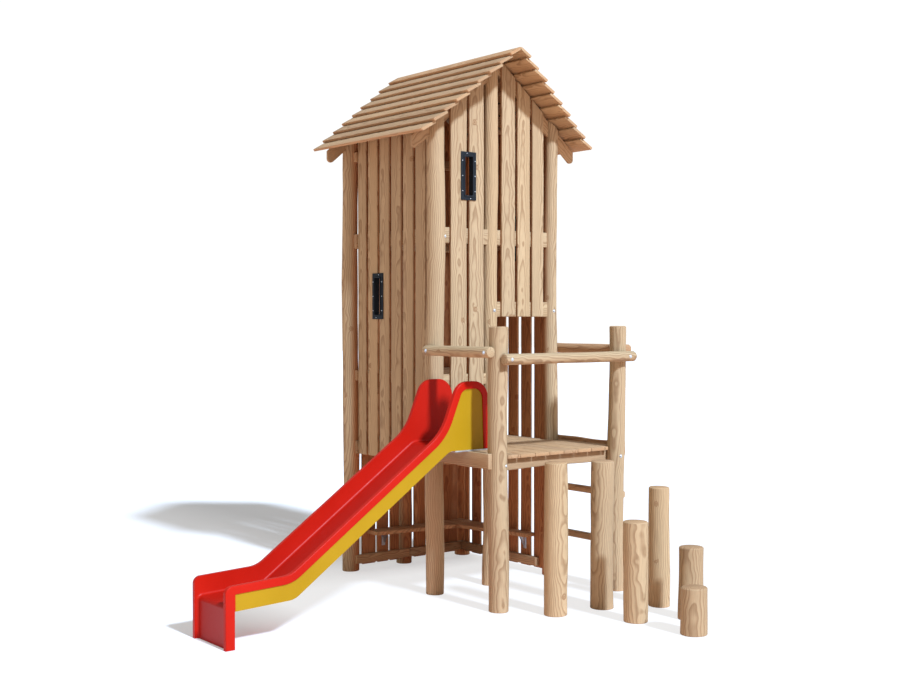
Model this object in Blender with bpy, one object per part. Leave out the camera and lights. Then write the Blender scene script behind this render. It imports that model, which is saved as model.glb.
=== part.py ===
# Stilt playhouse: a log tower with a gable roof, a slide platform and stepping posts.
# Units are metres, +Z is up and the ground is z = 0.
# While it is built, the near platform post stands at x = 0, y = 0,
# +X runs along the platform's front and +Y runs back towards the tower.
# At the end the plan's centre is moved to the origin.

import math

import bmesh
import bpy
from mathutils import Matrix, Vector

# Plan
tower_width = 1.335
tower_depth = 1.290
platform_depth = 0.840
middle_post_share = 0.46

# Main heights
deck_height = 1.250
ridge_above_deck = 3.400
platform_post_above_deck = 1.040
roof_pitch = math.radians(39.5)

# Logs
tower_post_radius = 0.077
platform_post_radius = 0.081
step_post_radius = 0.098
log_sway = 0.008
log_bend_length = 3.30
log_bulge_length = 1.23
log_bulge_share = 0.025
log_chamfer = 0.008

# Fits
fit = 0.0003
bite = 0.0005
cutter_reach = 0.100

# Wall boards
board_thickness = 0.025
board_gap = 0.022
left_board_gap = 0.036
right_board_gap = 0.050
front_board_gap = 0.028
board_recess = 0.020
front_board_set_out = 0.050
wall_foot = 0.050
left_wall_foot_below_deck = 0.150
board_top_below_roof = 0.006
side_board_below_roof = 0.012

# Distance from the posts' centres to the first and last board of each bay
front_left_start, front_left_end = 0.136, 0.112
front_right_start, front_right_end = 0.093, 0.131
back_left_start, back_left_end = 0.100, 0.089
back_right_start, back_right_end = 0.092, 0.095
left_start, left_end = 0.161, 0.0957
right_start, right_end = 0.032, 0.0957

# Wall rails
rail_thickness = 0.050
low_rail_height = 0.070
low_rail_depth = 0.080
floor_rail_depth = 0.120
middle_rail_above_deck = 0.530
middle_rail_depth = 0.095
lintel_above_deck = 1.120
lintel_depth = 0.132
upper_rail_above_deck = 1.750
upper_rail_depth = 0.134
gable_rail_below_eave = 0.300
gable_rail_depth = 0.090

# Look-outs: a frame on each face of the boards, joined by a sleeve through them
window_width = 0.165
window_height = 0.415
window_bar = 0.040
window_flange = 0.009
window_sleeve = 0.006
window_rail_clearance = 0.010
gable_window_below_eave = 0.311
left_window_above_deck = 1.306
right_window_above_deck = 1.853

# Roof
roof_board_thickness = 0.025
roof_board_count = 9
roof_board_lap = 0.026
roof_first_edge = 0.117
roof_lift = 0.0005
roof_end_play = 0.007
rafter_thickness = 0.024
rafter_depth = 0.110
rafter_corner = 0.035
eave_overhang = 0.2575
roof_past_rafter = 0.022
verge_front_ridge = 0.355
verge_front_eave = 0.222
verge_back_ridge = 0.168
verge_back_eave = 0.153

# Platform deck and tower floor
deck_thickness = 0.028
deck_board_count = 9
deck_board_gap = 0.006
deck_first_joint = 0.074
deck_last_joint = 0.134
joist_width = 0.050
joist_depth = 0.070
post_clearance = 0.018

# Platform beams and ladder
beam_thickness = 0.045
beam_depth = 0.100
front_beam_set_back = 0.050
front_beam_left = 0.020
front_beam_right = 0.045
left_beam_offset = 0.072
right_beam_offset = 0.060
kick_board_depth = 0.120
kick_rise = 0.036
beam_front_overhang = 0.010
beam_back_overhang = 0.020
natural_edge = 0.009
rung_offset = 0.055
rung_size = 0.060
rung_round = 0.014
upper_rung_share = 0.656
lower_rung_share = 0.320

# Handrails
rail_radius = 0.045
saddle_depth = 0.012
side_rail_below_top = 0.205
front_rail_below_top = 0.260
rail_end_ease = 0.010

# Slide
slide_width = 0.516
slide_post_gap = 0.084
slide_rear = 0.108
slide_above_deck = 0.038
slide_ear_above_deck = 0.595
slide_outlet_length = 0.569
slide_outlet_height = 0.455
slide_outlet_depth = 0.185
slide_outlet_rise = 0.040
slide_angle = math.radians(34.5)
slide_side_depth = 0.172
slide_top_x = -0.303
slide_ear_left = -0.215
slide_ear_taper = 0.020
slide_ear_lean = 0.42
slide_nose_radius = 0.055
slide_outlet_radius = 0.22
slide_hollow_radius = 0.43
slide_ear_radius = 0.145
slide_top_radius = 0.12
slide_kink_radius = 0.16
slide_side_wall = 0.016
slide_rim_width = 0.060
slide_rim_thickness = 0.036
slide_rim_round = 0.007
slide_bed = 0.018
slide_bed_rise = 0.022
slide_foot = 0.075
slide_foot_step = 0.002
slide_panel = 0.012
slide_plate = 0.012
slide_plate_set_back = 0.030
slide_plate_lift = 0.004
slide_flange = 0.012
slide_flange_left = 0.250
slide_flange_inset = 0.005

# Bench
bench_top = 0.370
bench_board = 0.035
bench_left_end = 0.150
bench_front_end = 0.160
bench_back_width = 0.166
bench_side_width = 0.111
bench_corner_width = 0.281
bench_edge_wave = 0.010
bench_post_clearance = 0.014
bracket_plate = 0.006
bracket_width = 0.040
bracket_drop = 0.130
bracket_reach = 0.085

# Sizes that follow from those above
inner_face = board_recess + board_thickness
front_face = platform_depth - front_board_set_out
front_inner = front_face + board_thickness
rail_back = inner_face + rail_thickness
back_y = platform_depth + tower_depth
middle_x = tower_width * middle_post_share
ridge_x = tower_width / 2
floor_under = deck_height - deck_thickness
floor_rail_height = floor_under - fit - floor_rail_depth
ridge_height = deck_height + ridge_above_deck
eave_height = ridge_height - ridge_x * math.tan(roof_pitch)
platform_post_height = deck_height + platform_post_above_deck
rafter_reach = ridge_x + eave_overhang
roof_board_exposure = ((rafter_reach + roof_past_rafter) / math.cos(roof_pitch) - roof_first_edge) / (roof_board_count - 1)
left_beam_x = -left_beam_offset
right_beam_x = tower_width + right_beam_offset
slide_underside = deck_height + slide_above_deck
slide_far = platform_depth - slide_post_gap
slide_near = slide_far - slide_width

low_rail = (low_rail_height, low_rail_depth)
floor_rail = (floor_rail_height, floor_rail_depth)
middle_rail = (deck_height + middle_rail_above_deck, middle_rail_depth)
lintel_rail = (deck_height + lintel_above_deck, lintel_depth)
upper_rail = (deck_height + upper_rail_above_deck, upper_rail_depth)
gable_rail = (eave_height - gable_rail_below_eave, gable_rail_depth)

# Posts: name, plan place, radius, foot and top shares of the radius, phase of its wander
tower_posts = (
    ("post_back_left", (0.0, back_y), tower_post_radius, 1.00, 0.91, 0.3),
    ("post_back_middle", (middle_x, back_y), tower_post_radius, 0.97, 0.86, 1.9),
    ("post_back_right", (tower_width, back_y), tower_post_radius, 1.00, 0.86, 2.8),
    ("post_front_left", (0.0, platform_depth), tower_post_radius, 1.026, 1.013, 2.237),
    ("post_front_middle", (middle_x, platform_depth), tower_post_radius, 0.92, 0.81, 0.9),
    ("post_front_right", (tower_width, platform_depth), tower_post_radius, 0.99, 0.81, 5.2),
)
platform_posts = (
    ("post_platform_left", (0.0, 0.0), platform_post_radius, 1.02, 0.96, 2.2),
    ("post_platform_right", (tower_width, 0.0), platform_post_radius, 0.99, 0.91, 3.6),
)

# Stepping posts: name, share of the width, distance in front, share of the deck's height,
# share of the radius, phase
stepping_posts = (
    ("step_post_1", 0.502, 1.460, 0.283, 1.01, 0.4),
    ("step_post_2", 0.767, 1.118, 0.454, 0.99, 1.3),
    ("step_post_3", 0.464, 0.916, 0.626, 0.98, 2.5),
    ("step_post_4", 0.876, 0.657, 0.782, 0.91, 3.3),
    ("step_post_5", 0.562, 0.415, 0.960, 1.00, 4.4),
    ("step_post_6", 0.213, 0.365, 0.972, 1.00, 5.5),
)


def clear_scene():
    for item in list(bpy.data.objects):
        bpy.data.objects.remove(item, do_unlink=True)


def material(name, colour, roughness, metallic=0.0):
    found = bpy.data.materials.get(name)
    if found:
        return found
    made = bpy.data.materials.new(name)
    made.use_nodes = True
    shader = made.node_tree.nodes["Principled BSDF"]
    shader.inputs["Base Color"].default_value = (*colour, 1.0)
    shader.inputs["Roughness"].default_value = roughness
    shader.inputs["Metallic"].default_value = metallic
    return made


def wood():
    return material("peeled_wood", (0.62, 0.47, 0.31), 0.7)


def red_plastic():
    return material("red_plastic", (0.72, 0.03, 0.02), 0.35)


def yellow_plastic():
    return material("yellow_plastic", (0.80, 0.45, 0.03), 0.4)


def slate_plastic():
    return material("slate_plastic", (0.03, 0.045, 0.06), 0.5)


def steel():
    return material("galvanised_steel", (0.55, 0.57, 0.60), 0.4, 0.9)


def add_object(name, work, finish, smooth=None):
    bmesh.ops.recalc_face_normals(work, faces=work.faces)
    mesh = bpy.data.meshes.new(name)
    work.to_mesh(mesh)
    work.free()
    if smooth:
        mesh.shade_smooth()
        mesh.set_sharp_from_angle(angle=math.radians(smooth))
    made = bpy.data.objects.new(name, mesh)
    bpy.context.collection.objects.link(made)
    if finish:
        made.data.materials.append(finish)
    return made


def add_box(work, low, high):
    size = Vector(high) - Vector(low)
    centre = (Vector(high) + Vector(low)) / 2
    place = Matrix.Translation(centre) @ Matrix.Diagonal((*size, 1.0))
    bmesh.ops.create_cube(work, size=1.0, matrix=place)


def add_prism(work, outline, start, end, along="y"):
    # An outline pushed along one axis; its two numbers lie on the other two axes in order.
    def point(a, b, depth):
        if along == "x":
            return (depth, a, b)
        if along == "y":
            return (a, depth, b)
        return (a, b, depth)

    front = [work.verts.new(point(a, b, start)) for a, b in outline]
    back = [work.verts.new(point(a, b, end)) for a, b in outline]
    work.faces.new(front)
    work.faces.new(list(reversed(back)))
    count = len(outline)
    for index in range(count):
        after = (index + 1) % count
        work.faces.new((front[after], front[index], back[index], back[after]))


def prism(name, outline, start, end, finish, along="y", smooth=None):
    work = bmesh.new()
    add_prism(work, outline, start, end, along)
    return add_object(name, work, finish, smooth)


def boolean(target, cutter, kind):
    step = target.modifiers.new(kind.lower(), "BOOLEAN")
    step.operation = kind
    step.solver = "EXACT"
    step.object = cutter
    cutter.hide_render = True
    cutter.display_type = "WIRE"


def box_object(name, boxes, finish=None, grow=0.0):
    work = bmesh.new()
    for low, high in boxes:
        add_box(work, Vector(low) - Vector((grow,) * 3), Vector(high) + Vector((grow,) * 3))
    return add_object(name, work, finish)


def fused(name, first, rest, finish):
    # One solid from a first set of separate boxes and a second set that joins them.
    made = box_object(name, first, finish)
    boolean(made, box_object(name + "_join", rest), "UNION")
    return made


def cut_round_posts(target, name, posts, height, clearance):
    # Round notches where a board passes a post.
    for index, (post, place, radius, foot_share, *rest) in enumerate(posts):
        work = bmesh.new()
        wide = radius * foot_share + clearance
        matrix = Matrix.Translation((*place, height))
        bmesh.ops.create_cone(
            work, cap_ends=True, segments=16, radius1=wide, radius2=wide,
            depth=4 * cutter_reach, matrix=matrix)
        boolean(target, add_object(name + "_notch_" + str(index), work, None), "DIFFERENCE")


def joined_boxes(boxes):
    # Boxes that meet end to end along x, at one height and depth, become one box.
    merged = []
    for low, high in sorted((tuple(low), tuple(high)) for low, high in boxes):
        for index, (other_low, other_high) in enumerate(merged):
            level = other_low[1:] == low[1:] and other_high[1:] == high[1:]
            if level and low[0] - other_high[0] < 4 * fit:
                merged[index] = (other_low, high)
                break
        else:
            merged.append((low, high))
    return merged


def natural_line(start, end, swing, phase, steps=10):
    # Points along a natural edge: it stays on one side of the straight line and meets its ends.
    start = Vector(start)
    end = Vector(end)
    inward = Vector(((end - start).y, -(end - start).x)).normalized()
    points = []
    for step in range(steps + 1):
        share = step / steps
        swell = min(1.0, 5.0 * share, 5.0 * (1.0 - share))
        depth = swing * swell * (0.5 + 0.5 * math.sin(9.0 * share + phase))
        points.append(tuple(start.lerp(end, share) + inward * depth))
    return points


def loft(work, loops):
    # Closes a stack of rings into one body.
    work.faces.new(list(reversed(loops[0])))
    work.faces.new(loops[-1])
    count = len(loops[0])
    for below, above in zip(loops, loops[1:]):
        for side in range(count):
            after = (side + 1) % count
            work.faces.new((below[side], below[after], above[after], above[side]))


def log(name, foot, height, foot_radius, top_radius, phase, sway=1.0, sides=16, rings=9):
    # A peeled log: it tapers, swells, wanders a little and is chamfered at its top.
    work = bmesh.new()
    levels = [height * step / rings for step in range(rings)]
    levels += [height - log_chamfer, height]
    loops = []
    for index, level in enumerate(levels):
        bend = 2 * math.pi * level / log_bend_length
        bulge = 2 * math.pi * level / log_bulge_length
        radius = foot_radius + (top_radius - foot_radius) * level / height
        radius *= 1.0 + log_bulge_share * math.sin(bulge + 2.0 * phase)
        radius *= 1.0 + log_bulge_share * 0.4 * math.sin(2.3 * bulge + 5.0 * phase)
        if index == len(levels) - 1:
            radius -= log_chamfer
        drift = log_sway * sway * min(1.0, 2.5 * level / log_bulge_length)
        off_x = drift * math.sin(bend + phase)
        off_y = drift * math.cos(0.84 * bend + 1.7 * phase)
        loop = []
        for side in range(sides):
            turn = 2 * math.pi * side / sides
            flat = 1.0 + 0.03 * math.cos(2 * turn + phase)
            loop.append(work.verts.new((
                foot[0] + off_x + radius * flat * math.cos(turn),
                foot[1] + off_y + radius * flat * math.sin(turn),
                level)))
        loops.append(loop)
    loft(work, loops)
    return add_object(name, work, wood(), smooth=40)


def pole(name, start, end, radius, phase, finish):
    # A round rail between two points, its ends eased.
    start = Vector(start)
    end = Vector(end)
    span = (end - start).length
    work = bmesh.new()
    inside = [span * share for share in (0.2, 0.4, 0.6, 0.8)]
    stations = [0.0, rail_end_ease] + inside + [span - rail_end_ease, span]
    sides = 16
    loops = []
    for index, along in enumerate(stations):
        here = radius * (1.0 + 0.02 * math.sin(2 * math.pi * along / log_bulge_length + phase))
        if index in (0, len(stations) - 1):
            here -= rail_end_ease * 0.8
        loop = []
        for side in range(sides):
            turn = 2 * math.pi * side / sides
            loop.append(work.verts.new((here * math.cos(turn), here * math.sin(turn), along)))
        loops.append(loop)
    loft(work, loops)
    turn = Vector((0, 0, 1)).rotation_difference(end - start).to_matrix().to_4x4()
    bmesh.ops.transform(work, matrix=Matrix.Translation(start) @ turn, verts=work.verts)
    return add_object(name, work, finish, smooth=40)


def roof_line(x):
    return ridge_height - abs(x - ridge_x) * math.tan(roof_pitch)


def bay_boards(start, end, shares, gap):
    # Boards side by side between two lines, each with its share of the wood.
    timber = (end - start - gap * (len(shares) - 1)) / sum(shares)
    spans = []
    for share in shares:
        spans.append((start, start + timber * share))
        start += timber * share + gap
    return spans


def front_boards(left):
    if left:
        return bay_boards(front_left_start, middle_x - front_left_end, (0.516, 0.484), front_board_gap)
    return bay_boards(
        middle_x + front_right_start, tower_width - front_right_end, (0.354, 0.336, 0.310), front_board_gap)


def back_boards(left):
    if left:
        return bay_boards(back_left_start, middle_x - back_left_end, (0.40, 0.33, 0.27), board_gap)
    return bay_boards(
        middle_x + back_right_start, tower_width - back_right_end, (0.286, 0.351, 0.363), board_gap)


def left_boards():
    shares = (0.145, 0.145, 0.145, 0.145, 0.145, 0.128)
    return bay_boards(platform_depth + left_start, back_y - left_end, shares, left_board_gap)


def right_boards():
    shares = (0.143, 0.132, 0.132, 0.132, 0.132, 0.132, 0.057)
    return bay_boards(platform_depth + right_start, back_y - right_end, shares, right_board_gap)


def gap_centre(boards, index):
    return (boards[index][1] + boards[index + 1][0]) / 2


def windows():
    # Each look-out: its wall, the wall's axis, its place along it, its height and outer face.
    gable = eave_height - gable_window_below_eave - window_height / 2
    return {
        "front": ("front_wall_left", "x", gap_centre(front_boards(True), 0), gable, front_face, -1.0),
        "back": ("back_wall_right", "x", gap_centre(back_boards(False), 0), gable,
                 back_y - board_recess, 1.0),
        "left": ("left_wall", "y", gap_centre(left_boards(), 3), deck_height + left_window_above_deck,
                 board_recess, -1.0),
        "right": ("right_wall", "y", gap_centre(right_boards(), 1), deck_height + right_window_above_deck,
                  tower_width - board_recess, 1.0),
    }


def window_box(side, shrink, near, far):
    # A box round a look-out, smaller than its frame by shrink, between two depths from the outer face.
    wall, axis, along, height, face, outward = windows()[side]
    half_width = window_width / 2 - shrink
    half_height = window_height / 2 - shrink
    start, end = sorted((face + outward * near, face + outward * far))
    low_z = height - half_height
    high_z = height + half_height
    if axis == "x":
        return ((along - half_width, start, low_z), (along + half_width, end, high_z))
    return ((start, along - half_width, low_z), (end, along + half_width, high_z))


def clear_of_window(rails, side):
    # A rail that meets a look-out stops at either side of it.
    low, high = window_box(side, -window_rail_clearance, 0.0, 0.0)
    axis = 0 if windows()[side][1] == "x" else 1
    kept = []
    for rail_low, rail_high in rails:
        if rail_high[2] < low[2] or rail_low[2] > high[2]:
            kept.append((rail_low, rail_high))
            continue
        before = list(rail_high)
        before[axis] = low[axis]
        after = list(rail_low)
        after[axis] = high[axis]
        kept += [(rail_low, tuple(before)), (tuple(after), rail_high)]
    return kept


def rail_on_front(level, start_x, end_x):
    low, depth = level
    return (
        (start_x, front_inner, low),
        (end_x, front_inner + rail_thickness, low + depth),
    )


def rail_on_back(level, start_x, end_x):
    low, depth = level
    return (
        (start_x, back_y - rail_back, low),
        (end_x, back_y - inner_face, low + depth),
    )


def rail_on_side(level, left):
    low, depth = level
    near = platform_depth + rail_back + fit
    far = back_y - rail_back - fit
    if left:
        return ((inner_face, near, low), (rail_back, far, low + depth))
    return ((tower_width - rail_back, near, low), (tower_width - inner_face, far, low + depth))


def gable_wall(name, spans, y_low, y_high, foot, rails):
    # Upright boards whose tops follow the roof, joined by their rails.
    work = bmesh.new()
    drop = board_top_below_roof
    for start, end in spans:
        outline = [(start, foot), (end, foot), (end, roof_line(end) - drop)]
        if start < ridge_x < end:
            outline.append((ridge_x, roof_line(ridge_x) - drop))
        outline.append((start, roof_line(start) - drop))
        add_prism(work, outline, y_low, y_high)
    made = add_object(name, work, wood())
    boolean(made, box_object(name + "_join", rails), "UNION")


def build_walls():
    # Returns the rails of the front and the back, and the side boards, that the posts house.
    front_low = front_face
    front_high = front_inner + bite
    back_low = back_y - inner_face - bite
    back_high = back_y - board_recess

    levels = (middle_rail, upper_rail)
    front_left = [rail_on_front(level, 0.0, middle_x - fit) for level in levels]
    gable_wall(
        "front_wall_left", front_boards(True), front_low, front_high, deck_height + fit,
        clear_of_window(front_left, "front"))
    levels = (lintel_rail, upper_rail)
    front_right = [rail_on_front(level, middle_x + fit, tower_width) for level in levels]
    gable_wall(
        "front_wall_above_door", front_boards(False), front_low, front_high, lintel_rail[0], front_right)

    levels = (low_rail, floor_rail, middle_rail, upper_rail, gable_rail)
    back_left = [rail_on_back(level, 0.0, middle_x - fit) for level in levels]
    gable_wall("back_wall_left", back_boards(True), back_low, back_high, wall_foot, back_left)
    back_right = [rail_on_back(level, middle_x + fit, tower_width) for level in levels]
    gable_wall(
        "back_wall_right", back_boards(False), back_low, back_high, wall_foot,
        clear_of_window(back_right, "back"))

    top = roof_line(board_recess) - side_board_below_roof
    foot = deck_height - left_wall_foot_below_deck
    boards = [((board_recess, near, foot), (inner_face + bite, far, top)) for near, far in left_boards()]
    rails = [rail_on_side(level, True) for level in (floor_rail, middle_rail, upper_rail)]
    fused("left_wall", boards, clear_of_window(rails, "left"), wood())
    low_x = tower_width - inner_face - bite
    high_x = tower_width - board_recess
    boards = [((low_x, near, wall_foot), (high_x, far, top)) for near, far in right_boards()]
    rails = [rail_on_side(level, False) for level in (low_rail, floor_rail, upper_rail)]
    fused("right_wall", boards, clear_of_window(rails, "right"), wood())
    grooves = {"post_front_right": [boards[0]]}
    return front_left + front_right, back_left + back_right, grooves


def build_windows():
    inner = -board_thickness - bite - fit
    for side in windows():
        wall = windows()[side][0]
        flanges = [
            window_box(side, 0.0, fit, fit + window_flange),
            window_box(side, 0.0, inner, inner - window_flange),
        ]
        sleeve = window_box(
            side, window_bar - window_sleeve, fit + window_flange / 2, inner - window_flange / 2)
        frame = fused("window_frame_" + side, flanges, [sleeve], slate_plastic())
        slot = window_box(side, window_bar, cutter_reach, -cutter_reach)
        boolean(frame, box_object("window_slot_" + side, [slot]), "DIFFERENCE")
        hole = window_box(
            side, window_bar - window_sleeve - fit, cutter_reach, -board_thickness - window_flange)
        boolean(bpy.data.objects[wall], box_object("window_hole_" + side, [hole]), "DIFFERENCE")


def rafter_outline(sign):
    # One rafter in x and z: plumb at the ridge and the eave, with a rounded foot.
    slope = math.tan(roof_pitch)
    low = -rafter_depth / math.cos(roof_pitch)
    centre_x = rafter_reach - rafter_corner
    centre_z = low - centre_x * slope + rafter_corner / math.cos(roof_pitch)
    points = [(fit / 2, -fit), (rafter_reach, -fit - rafter_reach * slope)]
    sweep = math.pi / 2 + roof_pitch
    steps = 6
    for step in range(steps + 1):
        angle = -sweep * step / steps
        points.append((
            centre_x + rafter_corner * math.cos(angle),
            centre_z + rafter_corner * math.sin(angle)))
    points.append((fit / 2, low))
    return [(ridge_x + sign * x, ridge_height + z) for x, z in points]


def rafter_span(front):
    # The rafters stand behind the gable's boards in front and outside them at the back.
    near = front_inner + bite + fit if front else back_y - board_recess + fit
    return (near, near + rafter_thickness)


def build_rafters():
    for side, sign in (("left", -1.0), ("right", 1.0)):
        for end in ("front", "back"):
            near, far = rafter_span(end == "front")
            prism("rafter_" + end + "_" + side, rafter_outline(sign), near, far, wood())


def roof_board(index):
    # The section of one lapped board: its head lies on the rafters, its tail on the board below.
    lift = roof_board_thickness / roof_board_exposure
    end = roof_first_edge + index * roof_board_exposure
    head = end - roof_board_exposure - roof_board_lap
    thick = roof_board_thickness + bite
    rise = Vector((math.cos(roof_pitch), -math.sin(roof_pitch)))
    normal = Vector((math.sin(roof_pitch), math.cos(roof_pitch)))
    if index:
        points = [(head, thick), (end, (end - head) * lift + thick), (end, (end - head) * lift), (head, 0.0)]
    else:
        # At the ridge the first board is cut plumb.
        slope = math.tan(roof_pitch)
        low = -head * lift
        low_s = -low * slope / (1 + lift * slope)
        top_s = -(low + thick) * slope / (1 + lift * slope)
        points = [
            (top_s, (top_s - head) * lift + thick), (end, (end - head) * lift + thick),
            (end, (end - head) * lift), (low_s, (low_s - head) * lift)]
    return [rise * along + normal * (above + roof_lift) for along, above in points]


def build_roof():
    # Each slope: lapped boards with uneven ends that follow a slanting verge.
    reach = roof_first_edge + (roof_board_count - 1) * roof_board_exposure
    for side, sign in (("left", -1.0), ("right", 1.0)):
        courses = (bmesh.new(), bmesh.new())
        for index in range(roof_board_count):
            share = (roof_first_edge + (index - 0.5) * roof_board_exposure) / reach
            play = roof_end_play * math.sin(2.4 * index + 3.0 * sign)
            front = verge_front_ridge + (verge_front_eave - verge_front_ridge) * share + play
            play = roof_end_play * math.sin(3.1 * index + 2.0 * sign)
            back = verge_back_ridge + (verge_back_eave - verge_back_ridge) * share + play
            outline = [
                (ridge_x + sign * (max(point.x, 0.0) + fit), ridge_height + point.y)
                for point in roof_board(index)]
            add_prism(courses[index % 2], outline, platform_depth - front, back_y + back)
        made = add_object("roof_" + side, courses[0], wood())
        boolean(made, add_object("roof_" + side + "_join", courses[1], None), "UNION")


def build_posts(housings, grooves):
    made = {}
    for name, foot, radius, foot_share, top_share, phase in tower_posts:
        height = roof_line(foot[0]) + tower_post_radius
        made[name] = log(name, foot, height, radius * foot_share, radius * top_share, phase, rings=18)
        cut_under_roof(made[name], name, foot)
    for name, foot, radius, foot_share, top_share, phase in platform_posts:
        made[name] = log(
            name, foot, platform_post_height, radius * foot_share, radius * top_share, phase, rings=11)
    for name, boxes in housings.items():
        boolean(made[name], box_object(name + "_housing", joined_boxes(boxes), grow=fit), "DIFFERENCE")
    for name, boxes in grooves.items():
        boolean(made[name], box_object(name + "_groove", boxes, grow=fit), "DIFFERENCE")
    for name, share_x, distance, share_z, share_radius, phase in stepping_posts:
        radius = step_post_radius * share_radius
        log(name, (tower_width * share_x, -distance), deck_height * share_z, radius, radius * 0.985,
            phase, sway=0.5, sides=18, rings=6)


def cut_under_roof(post, name, foot):
    # Cuts the post's head to the roof and slots it for the rafter.
    wide = 2 * tower_post_radius
    front = foot[1] < platform_depth + tower_depth / 2
    near, far = rafter_span(front)
    seat = rafter_depth / math.cos(roof_pitch) + 2 * fit
    top = ridge_height + wide
    cuts = (
        ("_head_cut", board_top_below_roof, foot[1] - wide, foot[1] + wide, top),
        ("_rafter_cut", seat, near - fit, far + fit, top + cutter_reach),
    )
    for label, gap, start, end, high in cuts:
        left = foot[0] - wide
        right = foot[0] + wide
        outline = [(left, roof_line(left) - gap)]
        if left < ridge_x < right:
            outline.append((ridge_x, ridge_height - gap))
        outline += [(right, roof_line(right) - gap), (right, high), (left, high)]
        boolean(post, prism(name + label, outline, start, end, None), "DIFFERENCE")


def deck_boards(name, span_x, span_y, joist_x, joist_y, posts):
    # Boards that run back from the platform's front, carried by a joist and cut round the posts.
    joint_count = deck_board_count - 1
    pitch = (tower_width - deck_first_joint - deck_last_joint) / (joint_count - 1)
    joints = [deck_first_joint + index * pitch for index in range(joint_count)]
    joints = [joint for joint in joints if joint - span_x[0] > pitch / 2]
    edges = [span_x[0]] + joints + [span_x[1]]
    half = deck_board_gap / 2
    boards = []
    for index, (left, right) in enumerate(zip(edges, edges[1:])):
        left += half if index else 0.0
        right -= half if index < len(joints) else 0.0
        boards.append(((left, span_y[0], floor_under), (right, span_y[1], deck_height)))
    joist = (
        (joist_x[0], joist_y - joist_width / 2, floor_under - joist_depth),
        (joist_x[1], joist_y + joist_width / 2, floor_under + bite),
    )
    made = fused(name, boards, [joist], wood())
    cut_round_posts(made, name, posts, deck_height, post_clearance)
    for index, (post, place, radius, foot_share, *rest) in enumerate(posts):
        if span_y[0] < place[1] < span_y[1]:
            # The notch of a post in the wall line is open behind the post.
            wide = radius * foot_share + post_clearance
            low = (place[0] - wide, place[1], floor_under - cutter_reach)
            high = (place[0] + wide, place[1] + 2 * cutter_reach, deck_height + cutter_reach)
            boolean(made, box_object(name + "_slot_" + str(index), [(low, high)]), "DIFFERENCE")


def natural_plank(name, box, along, top_swing, low_swing, phase):
    # A plank that fills a box, with natural edges above and below.
    low, high = box
    axis = 0 if along == "x" else 1
    start, end = low[axis], high[axis]
    upper = natural_line((start, high[2]), (end, high[2]), top_swing, phase)
    lower = natural_line((end, low[2]), (start, low[2]), low_swing, phase + 2.0)
    if along == "x":
        return prism(name, upper + lower, low[1], high[1], wood(), along="y")
    return prism(name, upper + lower, low[0], high[0], wood(), along="x")


def build_platform():
    # Returns the boxes that each post houses.
    housings = {name: [] for name, *rest in tower_posts + platform_posts}

    def house(box, *posts):
        for post in posts:
            housings[post].append(box)

    top = floor_under - fit
    box = (
        (front_beam_left, front_beam_set_back, top - beam_depth),
        (tower_width - front_beam_right, front_beam_set_back + beam_thickness, top))
    natural_plank("platform_front_beam", box, "x", 0.0, natural_edge, 0.8)
    house(box, "post_platform_left", "post_platform_right")

    start = -beam_front_overhang
    end = platform_depth + beam_back_overhang
    box = (
        (left_beam_x - beam_thickness, start, deck_height - beam_depth),
        (left_beam_x, end, slide_underside - slide_flange - 2 * fit))
    natural_plank("platform_left_beam", box, "y", 0.0, natural_edge, 2.6)
    house(box, "post_platform_left", "post_front_left")

    top = deck_height + kick_rise
    box = (
        (right_beam_x, start, top - kick_board_depth),
        (right_beam_x + beam_thickness, end, top))
    natural_plank("platform_right_beam", box, "y", natural_edge, natural_edge, 4.4)
    house(box, "post_platform_right", "post_front_right")

    box = rail_on_front(floor_rail, 0.0, tower_width)
    box_object("floor_beam_front", [box], wood())
    house(box, "post_front_left", "post_front_middle", "post_front_right")

    for index, share in enumerate((upper_rung_share, lower_rung_share)):
        low_x = tower_width + rung_offset
        low_z = deck_height * share - rung_size / 2
        box = ((low_x, 0.0, low_z), (low_x + rung_size, end, low_z + rung_size))
        work = bmesh.new()
        add_box(work, *box)
        long_edges = [edge for edge in work.edges if abs(edge.verts[0].co.y - edge.verts[1].co.y) > rung_size]
        bmesh.ops.bevel(work, geom=long_edges, offset=rung_round, segments=3, profile=0.5, affect="EDGES")
        add_object("ladder_rung_" + str(index + 1), work, wood(), smooth=40)
        house(box, "post_platform_right", "post_front_right")

    joint_y = front_inner + rail_thickness / 2
    deck_boards(
        "platform_deck",
        (left_beam_x + fit, right_beam_x - fit), (0.0, joint_y - fit / 2),
        (left_beam_x + fit, right_beam_x - fit), platform_depth / 2,
        platform_posts + tower_posts[3:])
    deck_boards(
        "tower_floor",
        (inner_face + bite + 5 * fit, tower_width - inner_face - bite - 5 * fit),
        (joint_y + fit / 2, back_y - inner_face - rail_thickness / 5),
        (rail_back + fit, tower_width - rail_back - fit), platform_depth + tower_depth / 2,
        tower_posts)
    return housings


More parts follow.
